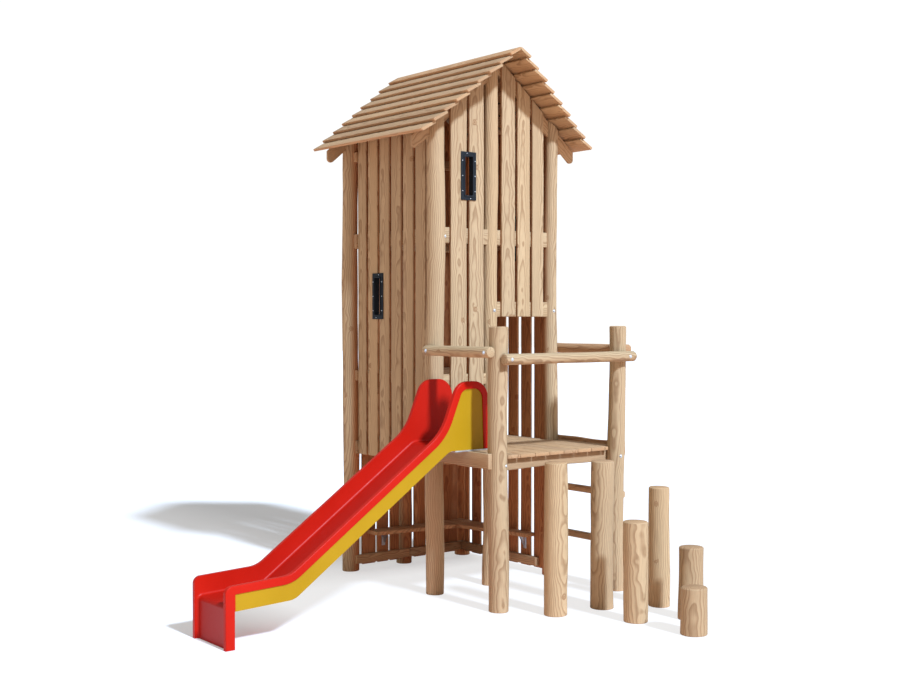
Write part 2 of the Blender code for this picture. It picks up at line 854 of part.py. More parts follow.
def build_handrails():
    # Round rails seated in shallow saddles on the outer sides of the posts.
    out = platform_post_radius + rail_radius - saddle_depth
    side_height = platform_post_height - side_rail_below_top
    front_height = platform_post_height - front_rail_below_top
    end = platform_depth + 0.8 * tower_post_radius
    left = -out
    right = tower_width + out
    rails = (
        ("handrail_left", (left, -0.5 * platform_post_radius, side_height),
         (left, platform_depth - 0.25 * tower_post_radius, side_height),
         0.4, ("post_platform_left", "post_front_left")),
        ("handrail_front", (left + 1.6 * rail_radius, -out, front_height),
         (right - 0.4 * rail_radius, -out, front_height),
         1.4, ("post_platform_left", "post_platform_right")),
        ("handrail_right", (right, -0.4 * platform_post_radius, side_height), (right, end, side_height),
         2.4, ("post_platform_right", "post_front_right")),
    )
    for name, start, end, phase, posts in rails:
        pole(name, start, end, rail_radius, phase, wood())
        cutter = pole(name + "_saddle", start, end, rail_radius + fit, phase, None)
        for post in posts:
            boolean(bpy.data.objects[post], cutter, "DIFFERENCE")


def rounded(corners, steps=5):
    # A closed outline from corners (x, z, radius), each corner turned by its radius.
    outline = []
    count = len(corners)
    for index, (x, z, radius) in enumerate(corners):
        here = Vector((x, z))
        if radius == 0.0:
            outline.append((x, z))
            continue
        before = (Vector(corners[index - 1][:2]) - here).normalized()
        after = (Vector(corners[(index + 1) % count][:2]) - here).normalized()
        half = before.angle(after) / 2
        reach = radius / math.tan(half)
        centre = here + (before + after).normalized() * (radius / math.sin(half))
        start = here + before * reach - centre
        end = here + after * reach - centre
        turn = math.atan2(start.x * end.y - start.y * end.x, start.dot(end))
        for step in range(steps + 1):
            angle = turn * step / steps
            point = Vector((
                start.x * math.cos(angle) - start.y * math.sin(angle),
                start.x * math.sin(angle) + start.y * math.cos(angle)))
            outline.append(tuple(centre + point))
    return outline


def inset(corners, distances):
    # Moves each edge of a clockwise outline inwards, and its corner radii with them.
    count = len(corners)
    moved = []
    for index, (x, z, radius) in enumerate(corners):
        here = Vector((x, z))
        before = Vector(corners[index - 1][:2])
        after = Vector(corners[(index + 1) % count][:2])
        first = (here - before).normalized()
        second = (after - here).normalized()
        first_in = Vector((first.y, -first.x)) * distances[index - 1]
        second_in = Vector((second.y, -second.x)) * distances[index]
        turn = first.x * second.y - first.y * second.x
        if abs(turn) < 1e-9:
            place = here + second_in
        else:
            offset = second_in - first_in
            along = (offset.x * second.y - offset.y * second.x) / turn
            place = here + first_in + first * along
        step = max(distances[index - 1], distances[index])
        if radius:
            radius = max(radius + (step if turn > 0 else -step), slide_rim_round)
        moved.append((place.x, place.y, radius))
    return moved


def slide_corners():
    # The side of the slide in x and z, clockwise from the front foot.
    slope = math.tan(slide_angle)
    depth = slide_side_depth / math.cos(slide_angle)
    rise = slide_outlet_rise

    # The straight chute's lower line meets the underside above and the outlet below.
    chute_low = slide_underside - slide_top_x * slope
    kink_z = slide_outlet_height - slide_outlet_depth + slide_outlet_length * rise
    kink_x = (kink_z - chute_low) / slope
    front = kink_x - slide_outlet_length
    upper_kink_x = (chute_low + depth - slide_outlet_height + front * rise) / (rise - slope)
    ear_top = deck_height + slide_ear_above_deck
    ear_low = chute_low + depth - ear_top
    ear_x = (ear_low + slide_ear_left / slide_ear_lean) / (1 / slide_ear_lean - slope)
    foot_x = front + slide_foot
    return [
        (front, 0.0, 0.0),
        (front, slide_outlet_height, slide_nose_radius),
        (upper_kink_x, slide_outlet_height + (upper_kink_x - front) * rise, slide_outlet_radius),
        (ear_x, chute_low + depth + ear_x * slope, slide_hollow_radius),
        (slide_ear_left, ear_top, slide_ear_radius),
        (slide_rear - slide_ear_taper, ear_top, slide_ear_radius),
        (slide_rear, slide_underside, 0.0),
        (slide_top_x, slide_underside, slide_top_radius),
        (kink_x, kink_z, slide_kink_radius),
        (foot_x, kink_z + (foot_x - kink_x) * rise, 0.0),
        (foot_x, 0.0, 0.0),
    ]


def panel_corners(corners, gap, lower):
    # The side panel inside the rim: its lower edges follow the slide's own lower edge.
    front = slide_foot + slide_foot_step + gap
    edges = [front] + [slide_rim_width + gap] * 5 + [-lower] * 3 + [-slide_foot_step - gap, 0.0]
    return inset(corners, edges)[1:10]


def bed_line(corners):
    # The upper face of the bed, from in front of the outlet up to behind the slide.
    rise = slide_bed + slide_bed_rise
    rear, top, kink = corners[6:9]
    bend = (rise - rise / math.cos(slide_angle)) / math.tan(slide_angle)
    nose_x = corners[0][0] - cutter_reach
    return [
        (nose_x, kink[1] + (nose_x - kink[0]) * slide_outlet_rise + rise, 0.0),
        (kink[0] + bend, kink[1] + rise + bend * slide_outlet_rise, slide_kink_radius),
        (top[0] + bend, top[1] + rise, slide_top_radius),
        (rear[0] + cutter_reach, rear[1] + rise, 0.0),
    ]


def build_slide():
    corners = slide_corners()
    front = corners[0][0]
    work = bmesh.new()
    add_prism(work, rounded(corners), slide_near, slide_far)
    bmesh.ops.recalc_face_normals(work, faces=work.faces)
    rim_edges = [edge for edge in work.edges if abs(edge.verts[0].co.y - edge.verts[1].co.y) < 1e-6]
    bmesh.ops.bevel(work, geom=rim_edges, offset=slide_rim_round, segments=2, profile=0.5, affect="EDGES")
    chute = add_object("slide_chute", work, red_plastic(), smooth=35)

    # The side panels lie in recesses framed by the rim and open through the lower edge.
    recess = slide_rim_thickness - slide_side_wall
    hollow = rounded(panel_corners(corners, 0.0, slide_rim_round))
    sides = (
        ("near", slide_near - recess, slide_near + recess),
        ("far", slide_far - recess, slide_far + recess),
    )
    for label, start, end in sides:
        boolean(chute, prism("slide_recess_" + label, hollow, start, end, None), "DIFFERENCE")

    # The channel above the bed, and the open space under it.
    line = bed_line(corners)
    inner = (slide_near + slide_rim_thickness, slide_far - slide_rim_thickness)
    high = corners[4][1] + cutter_reach
    over = [(line[0][0], high, 0.0), (line[3][0], high, 0.0)]
    under = [(x, z - slide_bed, radius) for x, z, radius in line]
    under += [(line[3][0], -cutter_reach, 0.0), (line[0][0], -cutter_reach, 0.0)]
    for label, outline in (("channel", over + list(reversed(line))), ("under", under)):
        boolean(chute, prism("slide_" + label, rounded(outline), *inner, None), "DIFFERENCE")

    seat = rounded(panel_corners(corners, 2 * fit, 0.0))
    starts = (("near", slide_near + recess - fit - slide_panel), ("far", slide_far - recess + fit))
    for label, start in starts:
        prism("slide_panel_" + label, seat, start, start + slide_panel, yellow_plastic(), smooth=30)

    # The plate that closes the outlet below its nose.
    plate_x = front + slide_plate_set_back
    nose_z = line[0][1] + (plate_x - line[0][0]) * slide_outlet_rise
    box_object("slide_front_plate", [(
        (plate_x, inner[0] + fit, slide_plate_lift),
        (plate_x + slide_plate, inner[1] - fit, nose_z - slide_bed - fit))], red_plastic())

    # The steel flange under the slide's top, on the platform's side beam.
    box_object("slide_flange", [(
        (-slide_flange_left, slide_near + slide_flange_inset, slide_underside - slide_flange - fit),
        (slide_rear - slide_flange_inset, slide_far - slide_flange_inset, slide_underside - fit))], steel())


def build_bench():
    # A corner seat against the boards, carried by steel angle brackets.
    back_edge = back_y - inner_face - bite - fit
    right_edge = tower_width - inner_face - bite - fit
    front_end = platform_depth + bench_front_end
    corner = (right_edge - bench_corner_width, back_edge - bench_corner_width)
    side_front = (right_edge - bench_side_width, front_end)
    back_front = (bench_left_end, back_edge - bench_back_width)
    outline = [(bench_left_end, back_edge), (right_edge, back_edge), (right_edge, front_end)]
    outline += natural_line(side_front, corner, bench_edge_wave, 0.6)
    outline += natural_line(corner, back_front, bench_edge_wave, 2.2)[1:]
    seat = prism("bench_seat", outline, bench_top - bench_board, bench_top, wood(), along="z")
    cut_round_posts(seat, "bench", tower_posts[1:3], bench_top, bench_post_clearance)

    top = bench_top - bench_board - fit
    half = bracket_width / 2
    profile = [
        (0.0, top), (0.0, top - bracket_drop), (-bracket_plate, top - bracket_drop),
        (-bracket_plate, top - bracket_plate), (-bracket_reach, top - bracket_plate),
        (-bracket_reach, top)]
    back_left = back_boards(True)[1]
    side_near, side_far = right_boards()[1], right_boards()[4]
    places = (
        ("x", (back_left[0] + back_left[1]) / 2),
        ("x", back_boards(False)[1][1] - half - bite),
        ("y", (side_far[0] + side_far[1]) / 2),
        ("y", (side_near[0] + side_near[1]) / 2),
    )
    for index, (axis, along) in enumerate(places):
        work = bmesh.new()
        add_prism(work, profile, -half, half)
        if axis == "x":
            place = Matrix.Translation((along, back_edge, 0.0)) @ Matrix.Rotation(math.pi / 2, 4, "Z")
        else:
            place = Matrix.Translation((right_edge, along, 0.0))
        bmesh.ops.transform(work, matrix=place, verts=work.verts)
        add_object("bench_bracket_" + str(index + 1), work, steel())


def centre_on_ground():
    # Shifts everything so that the plan's centre and the ground meet at the origin.
    graph = bpy.context.evaluated_depsgraph_get()
    corners = []
    for item in bpy.data.objects:
        if not item.hide_render:
            corners += [Vector(corner) for corner in item.evaluated_get(graph).bound_box]
    low = [min(corner[axis] for corner in corners) for axis in range(3)]
    high = [max(corner[axis] for corner in corners) for axis in range(3)]
    shift = Matrix.Translation((-(low[0] + high[0]) / 2, -(low[1] + high[1]) / 2, -low[2]))
    for item in bpy.data.objects:
        item.data.transform(shift)


def build_playhouse():
    clear_scene()
    front_rails, back_rails, grooves = build_walls()
    housings = build_platform()
    for rails, posts in ((front_rails, tower_posts[3:]), (back_rails, tower_posts[:3])):
        for low, high in rails:
            for name, foot, radius, *rest in posts:
                if low[0] - radius < foot[0] < high[0] + radius:
                    housings[name].append((low, high))
    build_posts(housings, grooves)
    build_rafters()
    build_roof()
    build_handrails()
    build_slide()
    build_windows()
    build_bench()
    centre_on_ground()


build_playhouse()
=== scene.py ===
# Looks of the stilt playhouse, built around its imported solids.
# Pieces are made in the part's own building frame and moved by "shift" at the end:
# the near platform post stands at x = 0, y = 0, +X runs along the platform's front
# and +Y runs back towards the tower.

import math
import random

import bmesh
import bpy
from mathutils import Matrix, Vector


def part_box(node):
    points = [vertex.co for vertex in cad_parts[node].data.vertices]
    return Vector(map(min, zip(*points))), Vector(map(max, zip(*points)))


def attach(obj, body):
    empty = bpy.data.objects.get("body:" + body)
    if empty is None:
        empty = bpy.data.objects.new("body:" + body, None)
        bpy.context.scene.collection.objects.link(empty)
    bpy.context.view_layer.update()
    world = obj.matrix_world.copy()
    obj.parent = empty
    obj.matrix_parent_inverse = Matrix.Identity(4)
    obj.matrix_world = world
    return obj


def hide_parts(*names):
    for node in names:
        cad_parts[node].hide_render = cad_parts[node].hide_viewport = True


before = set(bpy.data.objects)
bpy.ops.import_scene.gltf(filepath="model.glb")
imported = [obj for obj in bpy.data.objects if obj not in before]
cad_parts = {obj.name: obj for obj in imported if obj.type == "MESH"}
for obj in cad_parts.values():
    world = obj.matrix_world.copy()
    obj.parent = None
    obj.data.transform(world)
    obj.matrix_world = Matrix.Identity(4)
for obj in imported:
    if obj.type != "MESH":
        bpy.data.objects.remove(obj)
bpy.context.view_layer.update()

# Sizes, the same as in the part's source
tower_width = 1.335
tower_depth = 1.290
platform_depth = 0.840
middle_post_share = 0.46
deck_height = 1.250
deck_thickness = 0.028
deck_board_count = 9
deck_first_joint = 0.074
deck_last_joint = 0.134
ridge_above_deck = 3.400
platform_post_above_deck = 1.040
roof_pitch = math.radians(39.5)
tower_post_radius = 0.077
platform_post_radius = 0.081
step_post_radius = 0.098
log_sway = 0.008
log_bend_length = 3.30
log_bulge_length = 1.23
log_bulge_share = 0.025
log_chamfer = 0.008
fit = 0.0003
bite = 0.0005
board_thickness = 0.025
board_gap = 0.022
left_board_gap = 0.036
right_board_gap = 0.050
front_board_gap = 0.028
board_recess = 0.020
front_board_set_out = 0.050
wall_foot = 0.050
left_wall_foot_below_deck = 0.150
board_top_below_roof = 0.006
side_board_below_roof = 0.012
front_left_start, front_left_end = 0.136, 0.112
front_right_start, front_right_end = 0.093, 0.131
back_left_start, back_left_end = 0.100, 0.089
back_right_start, back_right_end = 0.092, 0.095
left_start, left_end = 0.161, 0.0957
right_start, right_end = 0.032, 0.0957
rail_thickness = 0.050
window_width = 0.165
window_height = 0.415
window_bar = 0.040
window_flange = 0.009
window_sleeve = 0.006
window_rail_clearance = 0.010
gable_window_below_eave = 0.311
left_window_above_deck = 1.306
right_window_above_deck = 1.853
roof_board_thickness = 0.025
roof_board_count = 9
roof_board_lap = 0.026
roof_first_edge = 0.117
roof_lift = 0.0005
roof_end_play = 0.007
rafter_thickness = 0.024
rafter_depth = 0.110
eave_overhang = 0.2575
roof_past_rafter = 0.022
verge_front_ridge = 0.355
verge_front_eave = 0.222
verge_back_ridge = 0.168
verge_back_eave = 0.153
rail_radius = 0.045
saddle_depth = 0.012
side_rail_below_top = 0.205
front_rail_below_top = 0.260
cutter_reach = 0.100
bracket_plate = 0.006

slide_width = 0.516
slide_post_gap = 0.084
slide_rear = 0.108
slide_above_deck = 0.038
slide_ear_above_deck = 0.595
slide_outlet_length = 0.569
slide_outlet_height = 0.455
slide_outlet_depth = 0.185
slide_outlet_rise = 0.040
slide_angle = math.radians(34.5)
slide_side_depth = 0.172
slide_top_x = -0.303
slide_ear_left = -0.215
slide_ear_taper = 0.020
slide_ear_lean = 0.42
slide_nose_radius = 0.055
slide_outlet_radius = 0.22
slide_hollow_radius = 0.43
slide_ear_radius = 0.145
slide_top_radius = 0.12
slide_kink_radius = 0.16
slide_side_wall = 0.016
slide_rim_width = 0.060
slide_rim_thickness = 0.036
slide_rim_round = 0.007
slide_bed = 0.018
slide_bed_rise = 0.022
slide_foot = 0.075
slide_foot_step = 0.002
slide_plate = 0.012
slide_plate_set_back = 0.030

# Roundings and ribs that only the looks have
slide_roll = 0.034
slide_fillet = 0.022
rib_thickness = 0.004

inner_face = board_recess + board_thickness
front_face = platform_depth - front_board_set_out
front_inner = front_face + board_thickness
rail_back = inner_face + rail_thickness
back_y = platform_depth + tower_depth
middle_x = tower_width * middle_post_share
ridge_x = tower_width / 2
floor_under = deck_height - deck_thickness
ridge_height = deck_height + ridge_above_deck
eave_height = ridge_height - ridge_x * math.tan(roof_pitch)
platform_post_height = deck_height + platform_post_above_deck
rafter_reach = ridge_x + eave_overhang
roof_reach = (rafter_reach + roof_past_rafter) / math.cos(roof_pitch)
roof_board_exposure = (roof_reach - roof_first_edge) / (roof_board_count - 1)
slide_underside = deck_height + slide_above_deck
slide_far = platform_depth - slide_post_gap
slide_near = slide_far - slide_width

# Rails of the walls: the height of the lower edge, and the depth
low_rail = (0.070, 0.080)
floor_rail = (floor_under - fit - 0.120, 0.120)
middle_rail = (deck_height + 0.530, 0.095)
lintel_rail = (deck_height + 1.120, 0.132)
upper_rail = (deck_height + 1.750, 0.134)
gable_rail = (eave_height - 0.300, 0.090)

# Logs: name, middle, thickness at the foot and at the top as shares, and the phase of their wander
tower_posts = (
    ("post_back_left", (0.0, back_y), 1.00, 0.91, 0.3),
    ("post_back_middle", (middle_x, back_y), 0.97, 0.86, 1.9),
    ("post_back_right", (tower_width, back_y), 1.00, 0.86, 2.8),
    ("post_front_left", (0.0, platform_depth), 1.026, 1.013, 2.237),
    ("post_front_middle", (middle_x, platform_depth), 0.92, 0.81, 0.9),
    ("post_front_right", (tower_width, platform_depth), 0.99, 0.81, 5.2),
)
platform_posts = (
    ("post_platform_left", (0.0, 0.0), 1.02, 0.96, 2.2),
    ("post_platform_right", (tower_width, 0.0), 0.99, 0.91, 3.6),
)
# Stepping posts: name, place across as a share of the tower's width, distance in front of the
# platform's posts, height as a share of the deck's, thickness as a share, and phase
stepping_posts = (
    ("step_post_1", 0.502, 1.460, 0.283, 1.01, 0.4),
    ("step_post_2", 0.767, 1.118, 0.454, 0.99, 1.3),
    ("step_post_3", 0.464, 0.916, 0.626, 0.98, 2.5),
    ("step_post_4", 0.876, 0.657, 0.782, 0.91, 3.3),
    ("step_post_5", 0.562, 0.415, 0.960, 1.00, 4.4),
    ("step_post_6", 0.213, 0.365, 0.972, 1.00, 5.5),
)

# The frame's shift, read from the beam that starts at x = 0 behind the front boards
beam_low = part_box("floor_beam_front")[0]
shift = Vector((beam_low.x, beam_low.y - front_inner, 0.0))


# Materials

# A whole turn, for phases and for the side that the rings lean to
full_turn = 6.28
# Rings: their width, the log's taper, how far slow and quick waves and knots move them, and
# how much they lean to one side
ring_width = 0.0112
log_taper = 0.022
slow_wave = 0.013
quick_wave = 0.0105
knot_bend = 0.016
ring_lean = 0.72
# Knots: cells per metre and per radian, the share of cells that hold none, and their reach
knots_along = 13.0
knots_round = 1.15
knot_free_share = 0.991
knot_reach = 0.62
# The wood's colours: pale and dark early wood, late wood, knots, and the brown tint that paints shade on
# inner, sheltered and shadowed faces and darkens the end grain of sawn tops
early_wood_pale = (0.495, 0.376, 0.227)
early_wood_dark = (0.432, 0.321, 0.189)
late_wood = (0.212, 0.118, 0.054)
late_wood_share = 0.64
knot_wood = (0.210, 0.100, 0.040)
brown_tint = (1.00, 0.58, 0.40)


class Graph:
    """A material's node tree, with short calls to add and join nodes."""

    def __init__(self, name):
        self.material = bpy.data.materials.new(name)
        self.material.use_nodes = True
        self.tree = self.material.node_tree
        self.shader = self.tree.nodes["Principled BSDF"]

    def node(self, kind, **settings):
        made = self.tree.nodes.new(kind)
        for key, value in settings.items():
            setattr(made, key, value)
        return made

    def put(self, value, socket):
        if isinstance(value, bpy.types.NodeSocket):
            self.tree.links.new(value, socket)
        else:
            socket.default_value = value

    def math(self, operation, *values):
        made = self.node("ShaderNodeMath", operation=operation)
        for value, socket in zip(values, made.inputs):
            self.put(value, socket)
        return made.outputs[0]

    def vector(self, operation, *values):
        made = self.node("ShaderNodeVectorMath", operation=operation)
        for value, socket in zip(values, made.inputs):
            self.put(value, socket)
        return made.outputs["Value" if operation in ("LENGTH", "DISTANCE") else "Vector"]

    def total(self, first, *others):
        for value in others:
            first = self.math("ADD", first, value)
        return first

    def attribute(self, name, output="Fac"):
        return self.node("ShaderNodeAttribute", attribute_name=name).outputs[output]

    def cells(self, vector, scale, **settings):
        made = self.node("ShaderNodeTexVoronoi", **settings)
        self.put(vector, made.inputs["Vector"])
        made.inputs["Scale"].default_value = scale
        parts = self.node("ShaderNodeSeparateColor")
        self.put(made.outputs["Color"], parts.inputs[0])
        return made.outputs["Distance"], parts.outputs

    def noise(self, vector, scale, detail=2.0, roughness=0.5):
        made = self.node("ShaderNodeTexNoise")
        self.put(vector, made.inputs["Vector"])
        made.inputs["Scale"].default_value = scale
        made.inputs["Detail"].default_value = detail
        made.inputs["Roughness"].default_value = roughness
        return made.outputs["Fac"]

    def ramp(self, value, *stops):
        made = self.node("ShaderNodeValToRGB")
        self.put(value, made.inputs["Fac"])
        points = made.color_ramp.elements
        while len(points) < len(stops):
            points.new(0.5)
        for point, (place, colour) in zip(points, stops):
            point.position = place
            point.color = (*colour, 1.0)
        return made.outputs["Color"]

    def blend(self, share, first, second, kind="MIX"):
        made = self.node("ShaderNodeMix", data_type="RGBA", blend_type=kind)
        self.put(share, made.inputs[0])
        for value, index in ((first, 6), (second, 7)):
            if not isinstance(value, bpy.types.NodeSocket):
                value = (*value, 1.0)
            self.put(value, made.inputs[index])
        return made.outputs[2]

    def range(self, value, low, high, to_low, to_high):
        made = self.node("ShaderNodeMapRange")
        self.put(value, made.inputs[0])
        for index, number in enumerate((low, high, to_low, to_high)):
            made.inputs[index + 1].default_value = number
        return made.outputs[0]

    def bump(self, height, strength, distance):
        made = self.node("ShaderNodeBump")
        made.inputs["Strength"].default_value = strength
        made.inputs["Distance"].default_value = distance
        self.put(height, made.inputs["Height"])
        self.tree.links.new(made.outputs["Normal"], self.shader.inputs["Normal"])


def grey(value):
    return (value, value, value)


def make_wood():
    # Peeled softwood: growth rings round a pith, cut by each piece's own faces, with a few knots.
    net = Graph("peeled_wood_looks")
    grain = net.attribute("grain", "Vector")
    tone = net.attribute("tone")
    brown = net.attribute("brown")
    parts = net.node("ShaderNodeSeparateXYZ")
    net.put(grain, parts.inputs[0])
    along, across, through = parts.outputs

    # Knots: cells in length and in angle round the pith, very few of which hold a branch.
    place = net.node("ShaderNodeCombineXYZ")
    net.put(net.math("MULTIPLY", along, knots_along), place.inputs[0])
    net.put(net.math("MULTIPLY", net.math("ARCTAN2", through, across), knots_round), place.inputs[1])
    distance, pick = net.cells(place.outputs[0], 1.0, voronoi_dimensions="2D")
    chosen = net.math("GREATER_THAN", pick[0], knot_free_share)
    near = net.math("MULTIPLY", net.range(distance, 0.0, knot_reach, 1.0, 0.0), chosen)

    # Rings: the distance from the pith, bent by slow and quick waves and round the knots.
    # Off the pith they lean to one side, another one on each piece.
    slow = net.noise(net.vector("MULTIPLY", grain, (1.0, 7.0, 7.0)), 1.3, 1.0)
    quick = net.noise(net.vector("MULTIPLY", grain, (1.0, 1.1, 1.1)), 7.5, 1.0)
    pith_distance = net.vector("LENGTH", net.vector("MULTIPLY", grain, (0.0, 1.0, 1.0)))
    turn = net.math("MULTIPLY", tone, full_turn)
    sideways = net.total(
        net.math("MULTIPLY", across, net.math("COSINE", turn)),
        net.math("MULTIPLY", through, net.math("SINE", turn)))
    reach = net.total(
        pith_distance,
        net.math("MULTIPLY", sideways, net.range(pith_distance, 0.020, 0.042, 0.0, ring_lean)),
        net.math("MULTIPLY", along, log_taper),
        net.range(slow, 0.0, 1.0, -slow_wave, slow_wave),
        net.range(quick, 0.0, 1.0, -quick_wave, quick_wave),
        net.math("MULTIPLY", net.math("POWER", near, 2.0), knot_bend))
    rings = net.math("FRACT", net.math("MULTIPLY", reach, 1 / ring_width))
    late = net.ramp(
        rings, (0.0, grey(0.0)), (0.45, grey(0.12)), (0.74, grey(0.80)), (0.88, grey(1.0)),
        (1.0, grey(0.05)))

    fibres = net.noise(net.vector("MULTIPLY", grain, (1.0, 22.0, 22.0)), 9.0, 3.0, 0.6)
    broad = net.noise(net.vector("MULTIPLY", grain, (0.5, 4.0, 4.0)), 2.2, 3.0)

    early = net.ramp(broad, (0.25, early_wood_dark), (0.75, early_wood_pale))
    colour = net.blend(net.math("MULTIPLY", late, late_wood_share), early, late_wood)
    colour = net.blend(1.0, colour, net.ramp(fibres, (0.3, grey(0.87)), (0.7, grey(1.08))), "MULTIPLY")
    board = net.ramp(tone, (0.0, (0.86, 0.84, 0.82)), (0.5, (0.97, 0.97, 0.97)), (1.0, (1.07, 1.05, 1.00)))
    colour = net.blend(1.0, colour, board, "MULTIPLY")
    heart = net.ramp(
        near, (0.0, grey(0.0)), (0.44, grey(0.0)), (0.60, grey(0.60)), (0.72, grey(0.35)),
        (1.0, grey(0.70)))
    colour = net.blend(heart, colour, knot_wood)
    # Painted shade: the brown attribute tints inner, sheltered and shadowed faces towards brown_tint. On
    # sawn tops it darkens the end grain.
    shade_and_end_grain_colour = net.blend(1.0, colour, brown_tint, "MULTIPLY")
    net.put(net.blend(brown, colour, shade_and_end_grain_colour), net.shader.inputs["Base Color"])
    net.put(net.range(net.total(fibres, late), 0.2, 1.6, 0.78, 0.60), net.shader.inputs["Roughness"])
    net.shader.inputs["Specular IOR Level"].default_value = 0.20
    net.bump(net.total(net.math("MULTIPLY", late, 0.5), fibres), 0.35, 0.0012)
    return net.material


def make_plastic(name, deep, pale, rough, gloss, grain_scale=240.0, bed_shade=0.0):
    # Moulded plastic: faint clouding, a fine orange peel and light scuffing.
    net = Graph(name)
    place = net.node("ShaderNodeTexCoord").outputs["Object"]
    cloud = net.noise(place, 3.0, 3.0)
    scuff = net.noise(net.vector("MULTIPLY", place, (6.0, 40.0, 6.0)), 4.0, 4.0, 0.65)
    colour = net.ramp(cloud, (0.25, deep), (0.75, pale))
    if bed_shade:
        # Painted shade: the bed between the sides is darkened to a deeper red.
        colour = net.blend(net.math("MULTIPLY", net.attribute("bed"), bed_shade), colour, grey(0.0))
    net.put(colour, net.shader.inputs["Base Color"])
    scuffed = net.range(scuff, 0.3, 0.7, -0.05, 0.06)
    clouded = net.range(cloud, 0.2, 0.8, rough - 0.02, rough + 0.03)
    net.put(net.total(scuffed, clouded), net.shader.inputs["Roughness"])
    net.shader.inputs["Specular IOR Level"].default_value = gloss
    net.bump(net.noise(place, grain_scale, 1.0), 0.12, 0.0004)
    return net.material


def make_steel():
    # Hot-dip galvanised steel: pale spangles of differing shine.
    net = Graph("galvanised_steel_looks")
    place = net.node("ShaderNodeTexCoord").outputs["Object"]
    distance, pick = net.cells(place, 140.0)
    cloud = net.noise(place, 30.0, 2.0)
    spangles = net.ramp(pick[0], (0.0, grey(0.50)), (1.0, grey(0.66)))
    clouding = net.ramp(cloud, (0.3, (0.50, 0.52, 0.55)), (0.7, (0.70, 0.72, 0.74)))
    net.put(net.blend(0.5, spangles, clouding), net.shader.inputs["Base Color"])
    net.put(net.range(pick[1], 0.0, 1.0, 0.30, 0.48), net.shader.inputs["Roughness"])
    net.shader.inputs["Metallic"].default_value = 0.85
    net.bump(cloud, 0.15, 0.0004)
    return net.material


wood = make_wood()
red = make_plastic(
    "red_plastic_looks", (0.392, 0.0080, 0.0030), (0.437, 0.0105, 0.0042), 0.38, 0.12, bed_shade=0.17)
yellow = make_plastic("yellow_plastic_looks", (0.335, 0.198, 0.0045), (0.372, 0.224, 0.0070), 0.42, 0.16)
slate = make_plastic("slate_plastic_looks", (0.006, 0.009, 0.012), (0.011, 0.015, 0.020), 0.55, 0.20, 500.0)
steel = make_steel()


# Mesh helpers

# Pieces start at their own place in this length of grain
grain_run = 60.0
# Edges turned by more than this many degrees are sharp
sharp_angle = 38.0
# A wavy board: the distance between its sections, how far a row of arches may lie off its
# middle as a share of its width, and how deep its pith lies
board_step = 0.13
board_pith_play = 0.35
board_pith_depth = (0.06, 0.11)
# A board's ends: the last section's distance from the end, and how far the end is eased as a
# share of the edge. A notch in a board: room kept clear of sections, and the depth of its corner
board_end_gap = 0.004
board_end_ease = 0.8
notch_room = 0.01
notch_corner = 0.001


def finish_mesh(name, work, finish, nodes=(), sharp=sharp_angle):
    # Turns a mesh in the building frame into a piece in the part's frame.
    bmesh.ops.recalc_face_normals(work, faces=work.faces)
    mesh = bpy.data.meshes.new(name)
    work.to_mesh(mesh)
    work.free()
    mesh.transform(Matrix.Translation(shift))
    mesh.shade_smooth()
    mesh.set_sharp_from_angle(angle=math.radians(sharp))
    made = bpy.data.objects.new(name, mesh)
    bpy.context.collection.objects.link(made)
    mesh.materials.append(finish)
    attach(made, "root")
    if nodes:
        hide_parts(*nodes)
    return made


def add_wood_layers(work):
    work.verts.layers.float_vector.new("grain")
    work.verts.layers.float.new("tone")
    work.verts.layers.float.new("brown")


def wood_mesh():
    work = bmesh.new()
    add_wood_layers(work)
    return work


def set_brown(work, share, verts=None):
    # Marks how brown each corner is: painted shade on inner, sheltered and shadowed faces, and the darker
    # end grain of sawn tops. share is a function of its place.
    brown = work.verts.layers.float["brown"]
    for vert in verts or work.verts:
        vert[brown] = min(1.0, max(0.0, share(vert.co)))


def set_grain(work, verts, axis, pith, seed):
    # Wood coordinates: along the piece, then the two offsets from its pith.
    draw = random.Random(seed)
    grain = work.verts.layers.float_vector["grain"]
    tone = work.verts.layers.float["tone"]
    start = draw.uniform(0.0, grain_run)
    level = draw.uniform(0.0, 1.0)
    wide, thin = [index for index in range(3) if index != axis]
    for vert in verts:
        vert[grain] = (vert.co[axis] + start, vert.co[wide] - pith[0], vert.co[thin] - pith[1])
        vert[tone] = level


def close_rings(work, rings):
    # Skins a stack of rings, closes both ends and returns the new corners.
    loops = [[work.verts.new(point) for point in ring] for ring in rings]
    work.faces.new(list(reversed(loops[0])))
    work.faces.new(loops[-1])
    count = len(loops[0])
    for below, above in zip(loops, loops[1:]):
        for side in range(count):
            after = (side + 1) % count
            work.faces.new((below[side], below[after], above[after], above[side]))
    return [vert for loop in loops for vert in loop]


def rounded(corners, steps=5):
    # A closed outline from corners (x, z, radius), each corner turned by its radius.
    outline = []
    count = len(corners)
    for index, (x, z, radius) in enumerate(corners):
        here = Vector((x, z))
        if radius == 0.0:
            outline.append((x, z))
            continue
        before = (Vector(corners[index - 1][:2]) - here).normalized()
        after = (Vector(corners[(index + 1) % count][:2]) - here).normalized()
        half = before.angle(after) / 2
        reach = radius / math.tan(half)
        centre = here + (before + after).normalized() * (radius / math.sin(half))
        start = here + before * reach - centre
        end = here + after * reach - centre
        turn = math.atan2(start.x * end.y - start.y * end.x, start.dot(end))
        for step in range(steps + 1):
            angle = turn * step / steps
            point = Vector((
                start.x * math.cos(angle) - start.y * math.sin(angle),
                start.x * math.sin(angle) + start.y * math.cos(angle)))
            outline.append(tuple(centre + point))
    return outline


def wave(place, phase, size):
    # A natural edge that only ever takes wood away, from 0 to size.
    return size * (0.5 + 0.28 * math.sin(4.1 * place + phase) + 0.22 * math.sin(9.7 * place + 2.3 * phase))


